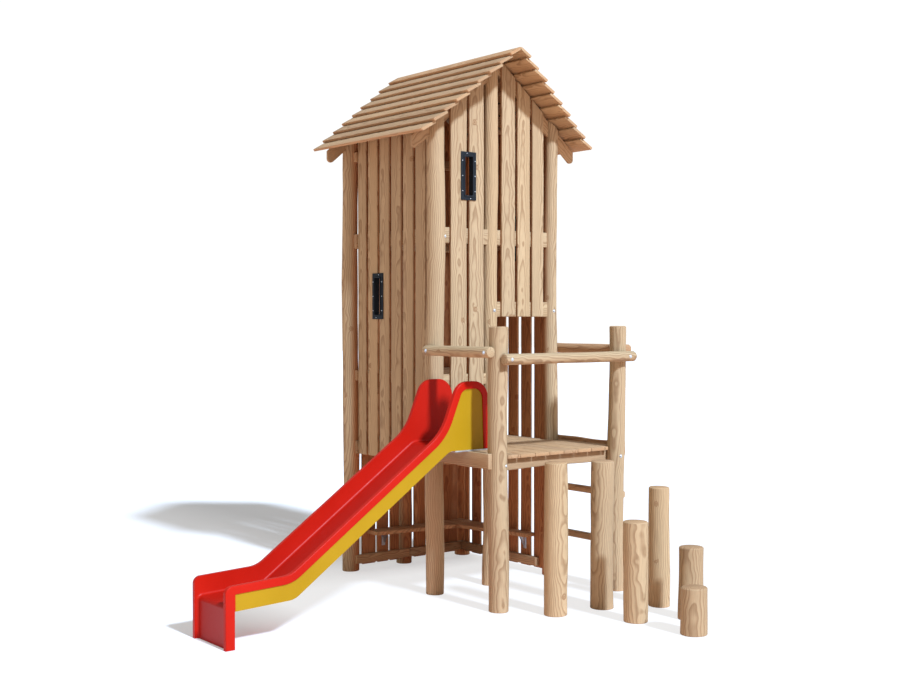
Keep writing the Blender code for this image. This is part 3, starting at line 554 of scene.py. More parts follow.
def add_board(work, along, across, through, start, end, seed, edge=0.004, sway=0.003, notch=None):
    # A board or beam with eased edges. across and through are (axis, low, high); start and end
    # are places along it, or functions of the place across it. notch is (side, place, low, high).
    draw = random.Random(seed)
    phases = (draw.uniform(0, full_turn), draw.uniform(0, full_turn))
    first = start if callable(start) else lambda wide: start
    last = end if callable(end) else lambda wide: end
    wide_low, wide_high = across[1:]
    deep_low, deep_high = through[1:]
    begin = max(first(wide_low), first(wide_high)) + edge
    finish = min(last(wide_low), last(wide_high)) - edge - board_end_gap
    count = max(2, int((finish - begin) / board_step))
    stations = [(begin + (finish - begin) * step / count, False) for step in range(count + 1)]
    if notch:
        side, place, low, high = notch
        stations = [item for item in stations if not low - notch_room < item[0] < high + notch_room]
        stations += [(low, False), (low, True), (high - notch_corner, True), (high, False)]
        stations.sort(key=lambda item: (item[0], item[1] if item[0] < high else not item[1]))

    def ring(inset_by, cut, level):
        left = wide_low + wave(level, phases[0], sway) + inset_by
        right = wide_high - wave(level, phases[1], sway) - inset_by
        if cut and side == "low":
            left = place
        elif cut:
            right = place
        near, far = deep_low + inset_by, deep_high - inset_by
        corners = [(left, near, edge), (right, near, edge), (right, far, edge), (left, far, edge)]
        return rounded(corners, 2)

    def point(wide, deep, level):
        co = [0.0, 0.0, 0.0]
        co[along] = level
        co[across[0]] = wide
        co[through[0]] = deep
        return co

    rings = [
        [point(wide, deep, first(wide)) for wide, deep in ring(edge * board_end_ease, False, begin)],
        [point(wide, deep, first(wide) + edge) for wide, deep in ring(0.0, False, begin)]]
    for level, cut in stations[1:-1]:
        rings.append([point(wide, deep, level) for wide, deep in ring(0.0, cut, level)])
    rings.append([point(wide, deep, last(wide) - edge) for wide, deep in ring(0.0, False, finish)])
    eased = ring(edge * board_end_ease, False, finish)
    rings.append([point(wide, deep, last(wide)) for wide, deep in eased])
    verts = close_rings(work, rings)
    # The pith lies well off one face, so the face shows long arches of grain.
    play = draw.uniform(-board_pith_play, board_pith_play)
    middle = (wide_low + wide_high) / 2 + play * (wide_high - wide_low)
    depth = draw.uniform(*board_pith_depth) * draw.choice((-1, 1))
    pith = {across[0]: middle, through[0]: (deep_low + deep_high) / 2 + depth}
    set_grain(work, verts, along, [pith[index] for index in sorted(pith)], seed)


def add_beam(work, low, high, seed, edge=0.005, sway=0.0):
    # A board that fills a box, its grain along the box's longest side.
    size = [after - before for before, after in zip(low, high)]
    along = size.index(max(size))
    others = [index for index in range(3) if index != along]
    wide, thin = sorted(others, key=lambda index: -size[index])
    add_board(
        work, along, (wide, low[wide], high[wide]), (thin, low[thin], high[thin]),
        low[along], high[along], seed, edge, sway)


def boolean(target, cutter, kind):
    # Applies one exact Boolean and deletes its cutter.
    step = target.modifiers.new(kind.lower(), "BOOLEAN")
    step.operation = kind
    step.solver = "EXACT"
    step.object = cutter
    graph = bpy.context.evaluated_depsgraph_get()
    mesh = bpy.data.meshes.new_from_object(target.evaluated_get(graph))
    target.modifiers.clear()
    target.data = mesh
    bpy.data.objects.remove(cutter)


def loose_object(name, work):
    bmesh.ops.recalc_face_normals(work, faces=work.faces)
    mesh = bpy.data.meshes.new(name)
    work.to_mesh(mesh)
    work.free()
    made = bpy.data.objects.new(name, mesh)
    bpy.context.collection.objects.link(made)
    return made


def prism_mesh(outline, start, end):
    # An outline in x and z pushed along y. Returns the mesh and its long sides.
    work = bmesh.new()
    front = [work.verts.new((x, start, z)) for x, z in outline]
    back = [work.verts.new((x, end, z)) for x, z in outline]
    work.faces.new(front)
    work.faces.new(list(reversed(back)))
    sides = []
    for index in range(len(outline)):
        after = (index + 1) % len(outline)
        sides.append(work.faces.new((front[after], front[index], back[index], back[after])))
    bmesh.ops.recalc_face_normals(work, faces=work.faces)
    return work, sides


def prism_object(name, outline, start, end):
    return loose_object(name, prism_mesh(outline, start, end)[0])


def edges_across(faces):
    # The edges that lie at one place in y.
    edges = [edge for face in faces for edge in face.edges]
    return [edge for edge in edges if abs(edge.verts[0].co.y - edge.verts[1].co.y) < 1e-6]


# Logs

log_sides = 40
log_step = 0.07
# The sections next to a log's ends, and how much its foot and its head are eased
log_foot_step = 0.004
log_head_step = 0.002
log_foot_ease = 0.003
log_head_ease = (log_chamfer * 0.75, log_chamfer * 1.15)
log_sharp_angle = 35.0
log_dent = 0.0012
log_flat = 0.03
pith_offset = 0.012
sawn_top_brown = 0.35
sawn_top_depth = 0.003
# How far towards the room a tower post's painted shade takes to be full, and the share it starts from
post_brown_depth = 0.050
post_brown_start = 0.3
# A stepping post is a little slimmer than its solid, tapers, and wanders half as much as a log
step_post_slack = 0.999
step_post_taper = 0.985
step_post_sway = 0.5


def log_section(foot, height, foot_radius, top_radius, phase, level, sway=1.0):
    # A log's middle and radius at a level, by the same taper, swell and wander as its solid.
    bend = 2 * math.pi * level / log_bend_length
    bulge = 2 * math.pi * level / log_bulge_length
    radius = foot_radius + (top_radius - foot_radius) * level / height
    radius *= 1.0 + log_bulge_share * math.sin(bulge + 2.0 * phase)
    radius *= 1.0 + log_bulge_share * 0.4 * math.sin(2.3 * bulge + 5.0 * phase)
    drift = log_sway * sway * min(1.0, 2.5 * level / log_bulge_length)
    x = foot[0] + drift * math.sin(bend + phase)
    y = foot[1] + drift * math.cos(0.84 * bend + 1.7 * phase)
    return x, y, radius


def log_rings(foot, height, foot_radius, top_radius, phase, sway):
    # The solid's shape in finer rings and with small hollows.
    count = max(4, int(height / log_step))
    levels = [0.0, log_foot_step] + [height * index / count for index in range(1, count)]
    levels += [height - log_chamfer, height - log_head_step, height]
    eased = {0: log_foot_ease, len(levels) - 2: log_head_ease[0], len(levels) - 1: log_head_ease[1]}
    rings = []
    for index, level in enumerate(levels):
        x, y, radius = log_section(foot, height, foot_radius, top_radius, phase, level, sway)
        radius -= eased.get(index, 0.0)
        ring = []
        for side in range(log_sides):
            turn = 2 * math.pi * side / log_sides
            flat = 1.0 + log_flat * math.cos(2 * turn + phase)
            ripple = math.sin(3 * turn + 7.0 * level + phase)
            ripple *= math.sin(11.0 * level + 2 * turn + 3 * phase)
            out = radius * flat - log_dent * (1.0 + ripple)
            ring.append((x + out * math.cos(turn), y + out * math.sin(turn), level))
        rings.append(ring)
    return rings


def roof_line(x):
    return ridge_height - abs(x - ridge_x) * math.tan(roof_pitch)


def rafter_span(front):
    near = front_inner + bite + fit if front else back_y - board_recess + fit
    return (near, near + rafter_thickness)


def finish_log(name, made, foot, seed):
    # Sets a log's grain, and browns the side that faces the room as painted shade, or else the sawn top for
    # its darker end grain.
    work = wood_mesh()
    work.from_mesh(made.data)
    pith = (foot[0] + pith_offset * math.sin(seed), foot[1] + pith_offset * math.cos(seed))
    set_grain(work, work.verts, 2, pith, seed)
    if name.startswith(("post_front", "post_back")):
        middle = Vector(foot)
        inward = (Vector((ridge_x, platform_depth + tower_depth / 2)) - middle).normalized()
        set_brown(work, lambda co: (co.xy - middle).dot(inward) / post_brown_depth - post_brown_start)
    else:
        top = max(vert.co.z for vert in work.verts)
        set_brown(work, lambda co: sawn_top_brown if co.z > top - sawn_top_depth else 0.0)
    bpy.data.objects.remove(made)
    finish_mesh("log_" + name, work, wood, (name,), log_sharp_angle)


def make_log(name, foot, height, radius, foot_share, top_share, phase, sway=1.0):
    work = bmesh.new()
    close_rings(work, log_rings(foot, height, radius * foot_share, radius * top_share, phase, sway))
    return loose_object("log_" + name, work)


def cut_log_head(made, foot):
    # Cuts a log to the roof's slope and notches it for the rafter.
    wide = 2 * tower_post_radius
    top = ridge_height + wide
    near, far = rafter_span(foot[1] < platform_depth + tower_depth / 2)
    cuts = (
        (board_top_below_roof, foot[1] - wide, foot[1] + wide, top),
        (rafter_depth / math.cos(roof_pitch) + 2 * fit, near - fit, far + fit, top + cutter_reach),
    )
    left = foot[0] - wide
    right = foot[0] + wide
    for gap, start, end, high in cuts:
        outline = [(left, roof_line(left) - gap)]
        if left < ridge_x < right:
            outline.append((ridge_x, ridge_height - gap))
        outline += [(right, roof_line(right) - gap), (right, high), (left, high)]
        boolean(made, prism_object("cut", outline, start, end), "DIFFERENCE")


def make_posts():
    for seed, (name, foot, *shares) in enumerate(tower_posts, 100):
        made = make_log(name, foot, roof_line(foot[0]) + tower_post_radius, tower_post_radius, *shares)
        cut_log_head(made, foot)
        if name == "post_front_right":
            # A groove takes the edge of the right wall's first board.
            left = tower_width - inner_face - fit
            right = tower_width - board_recess + fit
            top = ridge_height + 2 * tower_post_radius
            groove = [(left, 0.0), (right, 0.0), (right, top), (left, top)]
            near = platform_depth + right_start - fit
            boolean(made, prism_object("cut", groove, near, near + cutter_reach), "DIFFERENCE")
        finish_log(name, made, foot, seed)
    for seed, (name, foot, *shares) in enumerate(platform_posts, 120):
        made = make_log(name, foot, platform_post_height, platform_post_radius, *shares)
        finish_log(name, made, foot, seed)
    for seed, (name, share_x, distance, share_z, share, phase) in enumerate(stepping_posts, 140):
        foot = (tower_width * share_x, -distance)
        radius = step_post_radius * step_post_slack
        height = deck_height * share_z
        made = make_log(name, foot, height, radius, share, share * step_post_taper, phase, step_post_sway)
        finish_log(name, made, foot, seed)


# Walls

wall_board_edge = 0.004
wall_board_sway = 0.0035
wall_rail_edge = 0.006
# How far behind the outer face the painted shade starts on a board, and how deep it takes to be full
brown_start = 0.004
brown_depth = 0.012
rail_brown_depth = 0.180


def bay_boards(start, end, shares, gap):
    # Where each board of a bay starts and ends, from its share of the bay's timber.
    timber = (end - start - gap * (len(shares) - 1)) / sum(shares)
    spans = []
    for share in shares:
        spans.append((start, start + timber * share))
        start += timber * share + gap
    return spans


front_left = bay_boards(front_left_start, middle_x - front_left_end, (0.516, 0.484), front_board_gap)
front_right = bay_boards(
    middle_x + front_right_start, tower_width - front_right_end, (0.354, 0.336, 0.310), front_board_gap)
back_left = bay_boards(back_left_start, middle_x - back_left_end, (0.40, 0.33, 0.27), board_gap)
back_right = bay_boards(
    middle_x + back_right_start, tower_width - back_right_end, (0.286, 0.351, 0.363), board_gap)
left_side = bay_boards(
    platform_depth + left_start, back_y - left_end, (0.145,) * 5 + (0.128,), left_board_gap)
right_side = bay_boards(
    platform_depth + right_start, back_y - right_end, (0.143,) + (0.132,) * 5 + (0.057,), right_board_gap)

# Look-outs: axis across, boards, the board before it, height, outer face, and the way out
gable_look = eave_height - gable_window_below_eave - window_height / 2
look_outs = {
    "front": (0, front_left, 0, gable_look, front_face, -1.0),
    "back": (0, back_right, 0, gable_look, back_y - board_recess, 1.0),
    "left": (1, left_side, 3, deck_height + left_window_above_deck, board_recess, -1.0),
    "right": (1, right_side, 1, deck_height + right_window_above_deck, tower_width - board_recess, 1.0),
}


def look_out_middle(side):
    axis, boards, index, *rest = look_outs[side]
    return (boards[index][1] + boards[index + 1][0]) / 2


def notches(side):
    # The cut that a look-out's sleeve makes in the boards at either side of it, by board index.
    axis, boards, index, height, face, outward = look_outs[side]
    half_width = window_width / 2 - window_bar + window_sleeve + fit
    half_height = window_height / 2 - window_bar + window_sleeve + fit
    middle = look_out_middle(side)
    span = (height - half_height, height + half_height)
    return {
        index: ("high", middle - half_width, *span),
        index + 1: ("low", middle + half_width, *span),
    }


def clear_of_look_out(rails, side):
    # Splits the rails that would cross a look-out.
    axis, boards, index, height, face, outward = look_outs[side]
    low_z = height - window_height / 2 - window_rail_clearance
    high_z = height + window_height / 2 + window_rail_clearance
    start = look_out_middle(side) - window_width / 2 - window_rail_clearance
    end = look_out_middle(side) + window_width / 2 + window_rail_clearance
    kept = []
    for low, high in rails:
        if high[2] < low_z or low[2] > high_z:
            kept.append((low, high))
            continue
        before = list(high)
        before[axis] = start
        after = list(low)
        after[axis] = end
        kept += [(low, tuple(before)), (tuple(after), high)]
    return kept


def make_wall(name, across, through, spans, foot, top, rails, seed, outward, side=None):
    # Upright boards and the rails that carry them. side names the wall's look-out.
    work = wood_mesh()
    cuts = notches(side) if side else {}
    if side:
        rails = clear_of_look_out(rails, side)
    for index, (low, high) in enumerate(spans):
        add_board(
            work, 2, (across, low, high), (1 - across, *through), foot, top, seed + index,
            wall_board_edge, wall_board_sway, cuts.get(index))
    # Painted shade: boards are brown behind their outer faces, on their edges and inner faces, and rails on
    # their far sides.
    face = through[0] if outward < 0 else through[1]
    set_brown(work, lambda co: ((face - co[1 - across]) * outward - brown_start) / brown_depth)
    boards = set(work.verts)
    for index, (low, high) in enumerate(rails):
        add_beam(work, low, high, seed + 50 + index, wall_rail_edge)
    beams = [vert for vert in work.verts if vert not in boards]
    set_brown(
        work, lambda co: ((face - co[1 - across]) * outward - board_thickness) / rail_brown_depth, beams)
    finish_mesh(name + "_boards", work, wood, (name,))


def make_walls():
    def gable_top(x):
        return roof_line(x) - board_top_below_roof

    def rails_between(levels, low, high):
        # A rail at each level, between two corners in plan.
        return [((*low, level), (*high, level + depth)) for level, depth in levels]

    front = (front_face, front_inner)
    back = (back_y - inner_face, back_y - board_recess)
    left = (board_recess, inner_face)
    right = (tower_width - inner_face, tower_width - board_recess)
    front_rail = (front_inner, front_inner + rail_thickness)
    back_rail = (back_y - rail_back, back_y - inner_face)
    side_start = platform_depth + rail_back + fit
    side_end = back_y - rail_back - fit
    before, behind = middle_x - fit, middle_x + fit

    rails = rails_between((middle_rail, upper_rail), (0.0, front_rail[0]), (before, front_rail[1]))
    foot = deck_height + fit
    make_wall("front_wall_left", 0, front, front_left, foot, gable_top, rails, 200, -1, "front")
    rails = rails_between((lintel_rail, upper_rail), (behind, front_rail[0]), (tower_width, front_rail[1]))
    foot = lintel_rail[0]
    make_wall("front_wall_above_door", 0, front, front_right, foot, gable_top, rails, 300, -1)
    levels = (low_rail, floor_rail, middle_rail, upper_rail, gable_rail)
    rails = rails_between(levels, (0.0, back_rail[0]), (before, back_rail[1]))
    make_wall("back_wall_left", 0, back, back_left, wall_foot, gable_top, rails, 400, 1)
    rails = rails_between(levels, (behind, back_rail[0]), (tower_width, back_rail[1]))
    make_wall("back_wall_right", 0, back, back_right, wall_foot, gable_top, rails, 500, 1, "back")
    top = roof_line(board_recess) - side_board_below_roof
    levels = (floor_rail, middle_rail, upper_rail)
    rails = rails_between(levels, (inner_face, side_start), (rail_back, side_end))
    foot = deck_height - left_wall_foot_below_deck
    make_wall("left_wall", 1, left, left_side, foot, top, rails, 600, -1, "left")
    levels = (low_rail, floor_rail, upper_rail)
    low = (tower_width - rail_back, side_start)
    rails = rails_between(levels, low, (tower_width - inner_face, side_end))
    make_wall("right_wall", 1, right, right_side, wall_foot, top, rails, 700, 1, "right")


# Roof

roof_board_edge = 0.0045
roof_board_end_ease = 0.005
roof_sharp_angle = 40.0
roof_board_sway = 0.004
roof_board_steps = 16
roof_pith_play = 0.04
roof_pith_depth = (0.035, 0.07)
# Painted shade on the roof boards' undersides, and an even painted warm tint on the ridge boards' tops that
# stands in for warmer light
roof_under_brown = 0.12
ridge_board_brown = 0.45
down_slope = Vector((math.cos(roof_pitch), -math.sin(roof_pitch)))
off_slope = Vector((math.sin(roof_pitch), math.cos(roof_pitch)))


def roof_board(index):
    # The corners of a board's section, from the ridge: upper head, upper and lower foot, lower head.
    lift = roof_board_thickness / roof_board_exposure
    end = roof_first_edge + index * roof_board_exposure
    head = end - roof_board_exposure - roof_board_lap
    thick = roof_board_thickness
    foot = [(end, (end - head) * lift + thick), (end, (end - head) * lift)]
    if index:
        points = [(head, thick), *foot, (head, 0.0)]
    else:
        slope = math.tan(roof_pitch)
        low = -head * lift
        low_s = -low * slope / (1 + lift * slope)
        top_s = -(low + thick) * slope / (1 + lift * slope)
        points = [(top_s, (top_s - head) * lift + thick), *foot, (low_s, (low_s - head) * lift)]
    return [down_slope * along + off_slope * (above + roof_lift) for along, above in points]


def roof_ring(corners, phase, sign, inset_by, level):
    # A roof board's section at one place along the ridge.
    pull = down_slope * -wave(level, phase, roof_board_sway)
    moved = [corners[0], corners[1] + pull, corners[2] + pull, corners[3]]
    middle = (moved[0] + moved[1] + moved[2] + moved[3]) / 4
    eased = [corner - (corner - middle).normalized() * inset_by for corner in moved]
    flat = rounded([(*corner, roof_board_edge) for corner in eased], 2)
    return [(ridge_x + sign * (max(x, 0.0) + fit), level, ridge_height + z) for x, z in flat]


def add_roof_board(work, index, sign):
    reach = roof_first_edge + (roof_board_count - 1) * roof_board_exposure
    share = (roof_first_edge + (index - 0.5) * roof_board_exposure) / reach
    front = verge_front_ridge + (verge_front_eave - verge_front_ridge) * share
    back = verge_back_ridge + (verge_back_eave - verge_back_ridge) * share
    start = platform_depth - front - roof_end_play * math.sin(2.4 * index + 3.0 * sign)
    end = back_y + back + roof_end_play * math.sin(3.1 * index + 2.0 * sign)
    corners = roof_board(index)
    phase = 1.3 * index + sign
    inset_by = roof_board_end_ease
    rings = [roof_ring(corners, phase, sign, inset_by, start)]
    for step in range(roof_board_steps + 1):
        level = start + inset_by + (end - start - 2 * inset_by) * step / roof_board_steps
        rings.append(roof_ring(corners, phase, sign, 0.0, level))
    rings.append(roof_ring(corners, phase, sign, inset_by, end))
    verts = close_rings(work, rings)
    middle = (corners[0] + corners[2]) / 2
    seed = 800 + index + (20 if sign > 0 else 0)
    draw = random.Random(seed)
    pith = middle + off_slope * draw.choice((-1, 1)) * draw.uniform(*roof_pith_depth)
    pith += down_slope * draw.uniform(-roof_pith_play, roof_pith_play)
    set_grain(work, verts, 1, (ridge_x + sign * pith.x, ridge_height + pith.y), seed)

    def brown(co):
        # Painted shade: the top is brown next to the board above, where its lap shades it, and paler at its
        # own lower edge.
        away = Vector((sign * (co.x - ridge_x), co.z - ridge_height)) - middle
        # The underside gets an even painted shade.
        if away.dot(off_slope) < 0.0:
            return roof_under_brown
        return min(0.9, 0.75 - 5.0 * away.dot(down_slope)) if index else ridge_board_brown

    set_brown(work, brown, verts)


def make_roof():
    for side, sign in (("left", -1.0), ("right", 1.0)):
        work = wood_mesh()
        for index in range(roof_board_count):
            add_roof_board(work, index, sign)
        finish_mesh("roof_boards_" + side, work, wood, ("roof_" + side,), roof_sharp_angle)


# Beams, floors and handrails

beam_edge = 0.004
beam_pith = (0.03, -0.05)
# An even painted shade on beams and rafters, and a deeper one on those that lie in shadow
beam_brown = 0.15
deep_painted_shade = 0.5
rafter_edge = 0.003
rafter_pith = (0.02, 0.045)
floor_edge = 0.0035
floor_pith_play = 0.04
floor_pith_depth = (0.04, 0.08)
# Painted light on the floors: a warm tint on their tops stands in for warmer light, and a deeper painted
# shade goes underneath
floor_top_brown = 0.3
floor_under_brown = 0.4
joist_pith = (0.02, 0.03)
joist_tone = 0.4
# An even painted shade on the right handrail, whose side in view lies in shadow
handrail_brown = 0.45
handrail_sides = 36
handrail_step = 0.06
handrail_dent = 0.0008
# Where the ends of a handrail are eased, and by how much
handrail_ends = (0.0, 0.0025, 0.010)
handrail_ease = (0.010, 0.004, 0.0)
handrail_swell = 0.02
handrail_pith = (0.008, -0.006)


def copy_of(node, name, edge, finish, axis=None, seed=0, pith=None, brown=0.0):
    # A node's own mesh with its sharp edges eased; wood gets its grain along one axis and an even painted
    # shade.
    work = bmesh.new()
    work.from_mesh(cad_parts[node].data)
    bmesh.ops.translate(work, vec=-shift, verts=work.verts)
    bmesh.ops.remove_doubles(work, verts=work.verts, dist=1e-5)
    bmesh.ops.dissolve_limit(work, angle_limit=math.radians(0.6), verts=work.verts, edges=work.edges)
    if edge:
        limit = math.radians(sharp_angle)
        hard = [item for item in work.edges if len(item.link_faces) == 2 and item.is_convex]
        hard = [item for item in hard if item.calc_face_angle(0.0) > limit]
        bmesh.ops.bevel(
            work, geom=hard, offset=edge, segments=2, profile=0.6, affect="EDGES", clamp_overlap=True)
    if axis is not None:
        add_wood_layers(work)
        set_grain(work, work.verts, axis, pith, seed)
        set_brown(work, lambda co: brown)
    return finish_mesh(name, work, finish, (node,))


def box_middle(node):
    low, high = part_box(node)
    return (low + high) / 2 - shift


def make_timbers():
    # Each beam's grain axis, and how brown it is, as an even painted shade that is deeper on the beams that
    # lie in shadow.
    timbers = (
        ("platform_front_beam", 0, beam_brown), ("platform_left_beam", 1, beam_brown),
        ("platform_right_beam", 1, deep_painted_shade), ("floor_beam_front", 0, deep_painted_shade),
        ("ladder_rung_1", 1, beam_brown), ("ladder_rung_2", 1, beam_brown),
        ("bench_seat", 0, deep_painted_shade),
    )
    for seed, (node, axis, brown) in enumerate(timbers, 900):
        middle = box_middle(node)
        wide, thin = [index for index in range(3) if index != axis]
        pith = (middle[wide] + beam_pith[0], middle[thin] + beam_pith[1])
        copy_of(node, node + "_timber", beam_edge, wood, axis, seed, pith, brown)
    rafters = ("rafter_front_left", "rafter_front_right", "rafter_back_left", "rafter_back_right")
    for seed, node in enumerate(rafters, 900 + len(timbers)):
        make_rafter(node, seed)


def make_rafter(node, seed):
    # The grain of a rafter runs down its slope.
    made = copy_of(
        node, node + "_timber", rafter_edge, wood, 0, seed, (0.0, 0.0), beam_brown)
    sign = -1.0 if node.endswith("left") else 1.0
    down = Vector((sign * down_slope.x, down_slope.y))
    normal = Vector((sign * off_slope.x, off_slope.y))
    start = random.Random(seed).uniform(0, grain_run)
    head = Vector((ridge_x + shift.x, ridge_height))
    middle_y = box_middle(node).y + shift.y
    for vert, item in zip(made.data.vertices, made.data.attributes["grain"].data):
        flat = vert.co.xz - head
        through = vert.co.y - middle_y + rafter_pith[1]
        item.vector = (flat.dot(down) + start, flat.dot(normal) + rafter_pith[0], through)


def make_boarded(node, seed):
    # The deck and the tower's floor: the grain runs back, board by board, and the joist's across.
    made = copy_of(node, node + "_boards", floor_edge, wood, 1, seed, (0.0, 0.0))
    pitch = (tower_width - deck_first_joint - deck_last_joint) / (deck_board_count - 2)
    first = deck_first_joint + shift.x
    layers = [made.data.attributes[name].data for name in ("grain", "tone", "brown")]
    for vert, grain, tone, brown in zip(made.data.vertices, *layers):
        # Painted shade underneath, and a painted warm tint on top.
        brown.value = floor_under_brown if vert.co.z < deck_height - 0.006 else floor_top_brown
        if vert.co.z < floor_under - 0.001:
            grain.vector = (vert.co.x + seed, vert.co.y + joist_pith[0], vert.co.z + joist_pith[1])
            tone.value = joist_tone
            continue
        index = max(-1, math.floor((vert.co.x - first) / pitch))
        draw = random.Random(seed + index + 1)
        pith_x = first + (index + 0.5) * pitch + draw.uniform(-floor_pith_play, floor_pith_play)
        start = draw.uniform(0, grain_run)
        pith_z = deck_height + draw.uniform(*floor_pith_depth)
        grain.vector = (vert.co.y + start, vert.co.x - pith_x, vert.co.z - pith_z)
        tone.value = draw.uniform(0.2, 1.0)


def make_handrails():
    # Peeled poles with eased ends: where each starts and ends, and its phase.
    out = platform_post_radius + rail_radius - saddle_depth
    side_height = platform_post_height - side_rail_below_top
    front_height = platform_post_height - front_rail_below_top
    right = tower_width + out
    front_x = (-out + 1.6 * rail_radius, right - 0.4 * rail_radius)
    left_y = (-0.5 * platform_post_radius, platform_depth - 0.25 * tower_post_radius)
    right_y = (-0.4 * platform_post_radius, platform_depth + 0.8 * tower_post_radius)
    rails = (
        ("handrail_left", (-out, left_y[0], side_height), (-out, left_y[1], side_height), 0.4),
        ("handrail_front", (front_x[0], -out, front_height), (front_x[1], -out, front_height), 1.4),
        ("handrail_right", (right, right_y[0], side_height), (right, right_y[1], side_height), 2.4),
    )
    for seed, (name, start, end, phase) in enumerate(rails, 1000):
        span = (Vector(end) - Vector(start)).length
        axis = 0 if name == "handrail_front" else 1
        count = int(span / handrail_step)
        inner = [span * index / count for index in range(1, count)]
        places = [*handrail_ends, *inner] + [span - place for place in reversed(handrail_ends)]
        rings = []
        for index, along in enumerate(places):
            bulge = 2 * math.pi * along / log_bulge_length
            radius = rail_radius * (1.0 + handrail_swell * math.sin(bulge + phase))
            radius -= handrail_ease[min(index, len(places) - 1 - index, 2)]
            ring = []
            for side in range(handrail_sides):
                turn = 2 * math.pi * side / handrail_sides
                here = radius - handrail_dent * (1 + math.sin(3 * turn + 9 * along + phase))
                across, up = here * math.cos(turn), here * math.sin(turn)
                offset = (along, across, up) if axis == 0 else (across, along, up)
                ring.append(Vector(start) + Vector(offset))
            rings.append(ring)
        work = wood_mesh()
        verts = close_rings(work, rings)
        pith = (start[1 - axis] + handrail_pith[0], start[2] + handrail_pith[1])
        set_grain(work, verts, axis, pith, seed)
        # The right handrail gets an even painted shade.
        if name == "handrail_right":
            set_brown(work, lambda co: handrail_brown)
        finish_mesh(name + "_pole", work, wood, (name,))


# Slide

slide_steps = 14
slide_sharp_angle = 32.0
# How far from the bed's face its painted shade fades out
bed_blend = 0.012


def inset(corners, distances):
    # Moves each side of an outline inwards by its own distance.
    count = len(corners)
    moved = []
    for index, (x, z, radius) in enumerate(corners):
        here = Vector((x, z))
        before = Vector(corners[index - 1][:2])
        after = Vector(corners[(index + 1) % count][:2])
        first = (here - before).normalized()
        second = (after - here).normalized()
        first_in = Vector((first.y, -first.x)) * distances[index - 1]
        second_in = Vector((second.y, -second.x)) * distances[index]
        turn = first.x * second.y - first.y * second.x
        if abs(turn) < 1e-9:
            place = here + second_in
        else:
            offset = second_in - first_in
            along = (offset.x * second.y - offset.y * second.x) / turn
            place = here + first_in + first * along
        step = max(distances[index - 1], distances[index])
        if radius:
            radius = max(radius + (step if turn > 0 else -step), slide_rim_round)
        moved.append((place.x, place.y, radius))
    return moved


def slide_corners():
    slope = math.tan(slide_angle)
    depth = slide_side_depth / math.cos(slide_angle)
    rise = slide_outlet_rise
    chute_low = slide_underside - slide_top_x * slope
    kink_z = slide_outlet_height - slide_outlet_depth + slide_outlet_length * rise
    kink_x = (kink_z - chute_low) / slope
    front = kink_x - slide_outlet_length
    upper_kink_x = (chute_low + depth - slide_outlet_height + front * rise) / (rise - slope)
    ear_top = deck_height + slide_ear_above_deck
    ear_low = chute_low + depth - ear_top
    ear_x = (ear_low + slide_ear_left / slide_ear_lean) / (1 / slide_ear_lean - slope)
    foot_x = front + slide_foot
    return [
        (front, 0.0, 0.0),
        (front, slide_outlet_height, slide_nose_radius),
        (upper_kink_x, slide_outlet_height + (upper_kink_x - front) * rise, slide_outlet_radius),
        (ear_x, chute_low + depth + ear_x * slope, slide_hollow_radius),
        (slide_ear_left, ear_top, slide_ear_radius),
        (slide_rear - slide_ear_taper, ear_top, slide_ear_radius),
        (slide_rear, slide_underside, 0.0),
        (slide_top_x, slide_underside, slide_top_radius),
        (kink_x, kink_z, slide_kink_radius),
        (foot_x, kink_z + (foot_x - kink_x) * rise, 0.0),
        (foot_x, 0.0, 0.0),
    ]


def panel_corners(corners, gap, lower):
    # The recess that takes a yellow inlay: inside the rim above and below, and short of the foot.
    front = slide_foot + slide_foot_step + gap
    edges = [front] + [slide_rim_width + gap] * 5 + [-lower] * 3 + [-slide_foot_step - gap, 0.0]
    return inset(corners, edges)[1:10]


def bed_line(corners, drop=0.0):
    # The upper face of the bed: down the plate, over the rolled nose and up to behind the slide.
    rise = slide_bed + slide_bed_rise
    rear, top, kink = corners[6:9]
    bend = (rise - rise / math.cos(slide_angle)) / math.tan(slide_angle)
    nose_x = corners[0][0] + slide_plate_set_back + drop
    angle = math.atan(slide_outlet_rise)
    nose_z = kink[1] + (nose_x - kink[0]) * slide_outlet_rise + rise - drop / math.cos(angle)
    line = [
        (nose_x, -cutter_reach, 0.0),
        (nose_x, nose_z, slide_roll - drop),
        (kink[0] + bend, kink[1] + rise + bend * slide_outlet_rise, slide_kink_radius),
        (top[0] + bend, top[1] + rise, slide_top_radius),
        (rear[0] + cutter_reach, rear[1] + rise, 0.0),
    ]
    if drop:
        line = line[:2] + [(x, z - slide_bed, radius) for x, z, radius in line[2:]]
        line[1] = (nose_x, nose_z + drop / math.cos(angle) - slide_bed, slide_roll - drop)
    return line


def line_distance(here, points):
    # How far a place is from a line through points.
    nearest = 100.0
    for first, second in zip(points, points[1:]):
        span = second - first
        share = (here - first).dot(span) / span.length_squared
        nearest = min(nearest, (first + span * min(1.0, max(0.0, share)) - here).length)
    return nearest


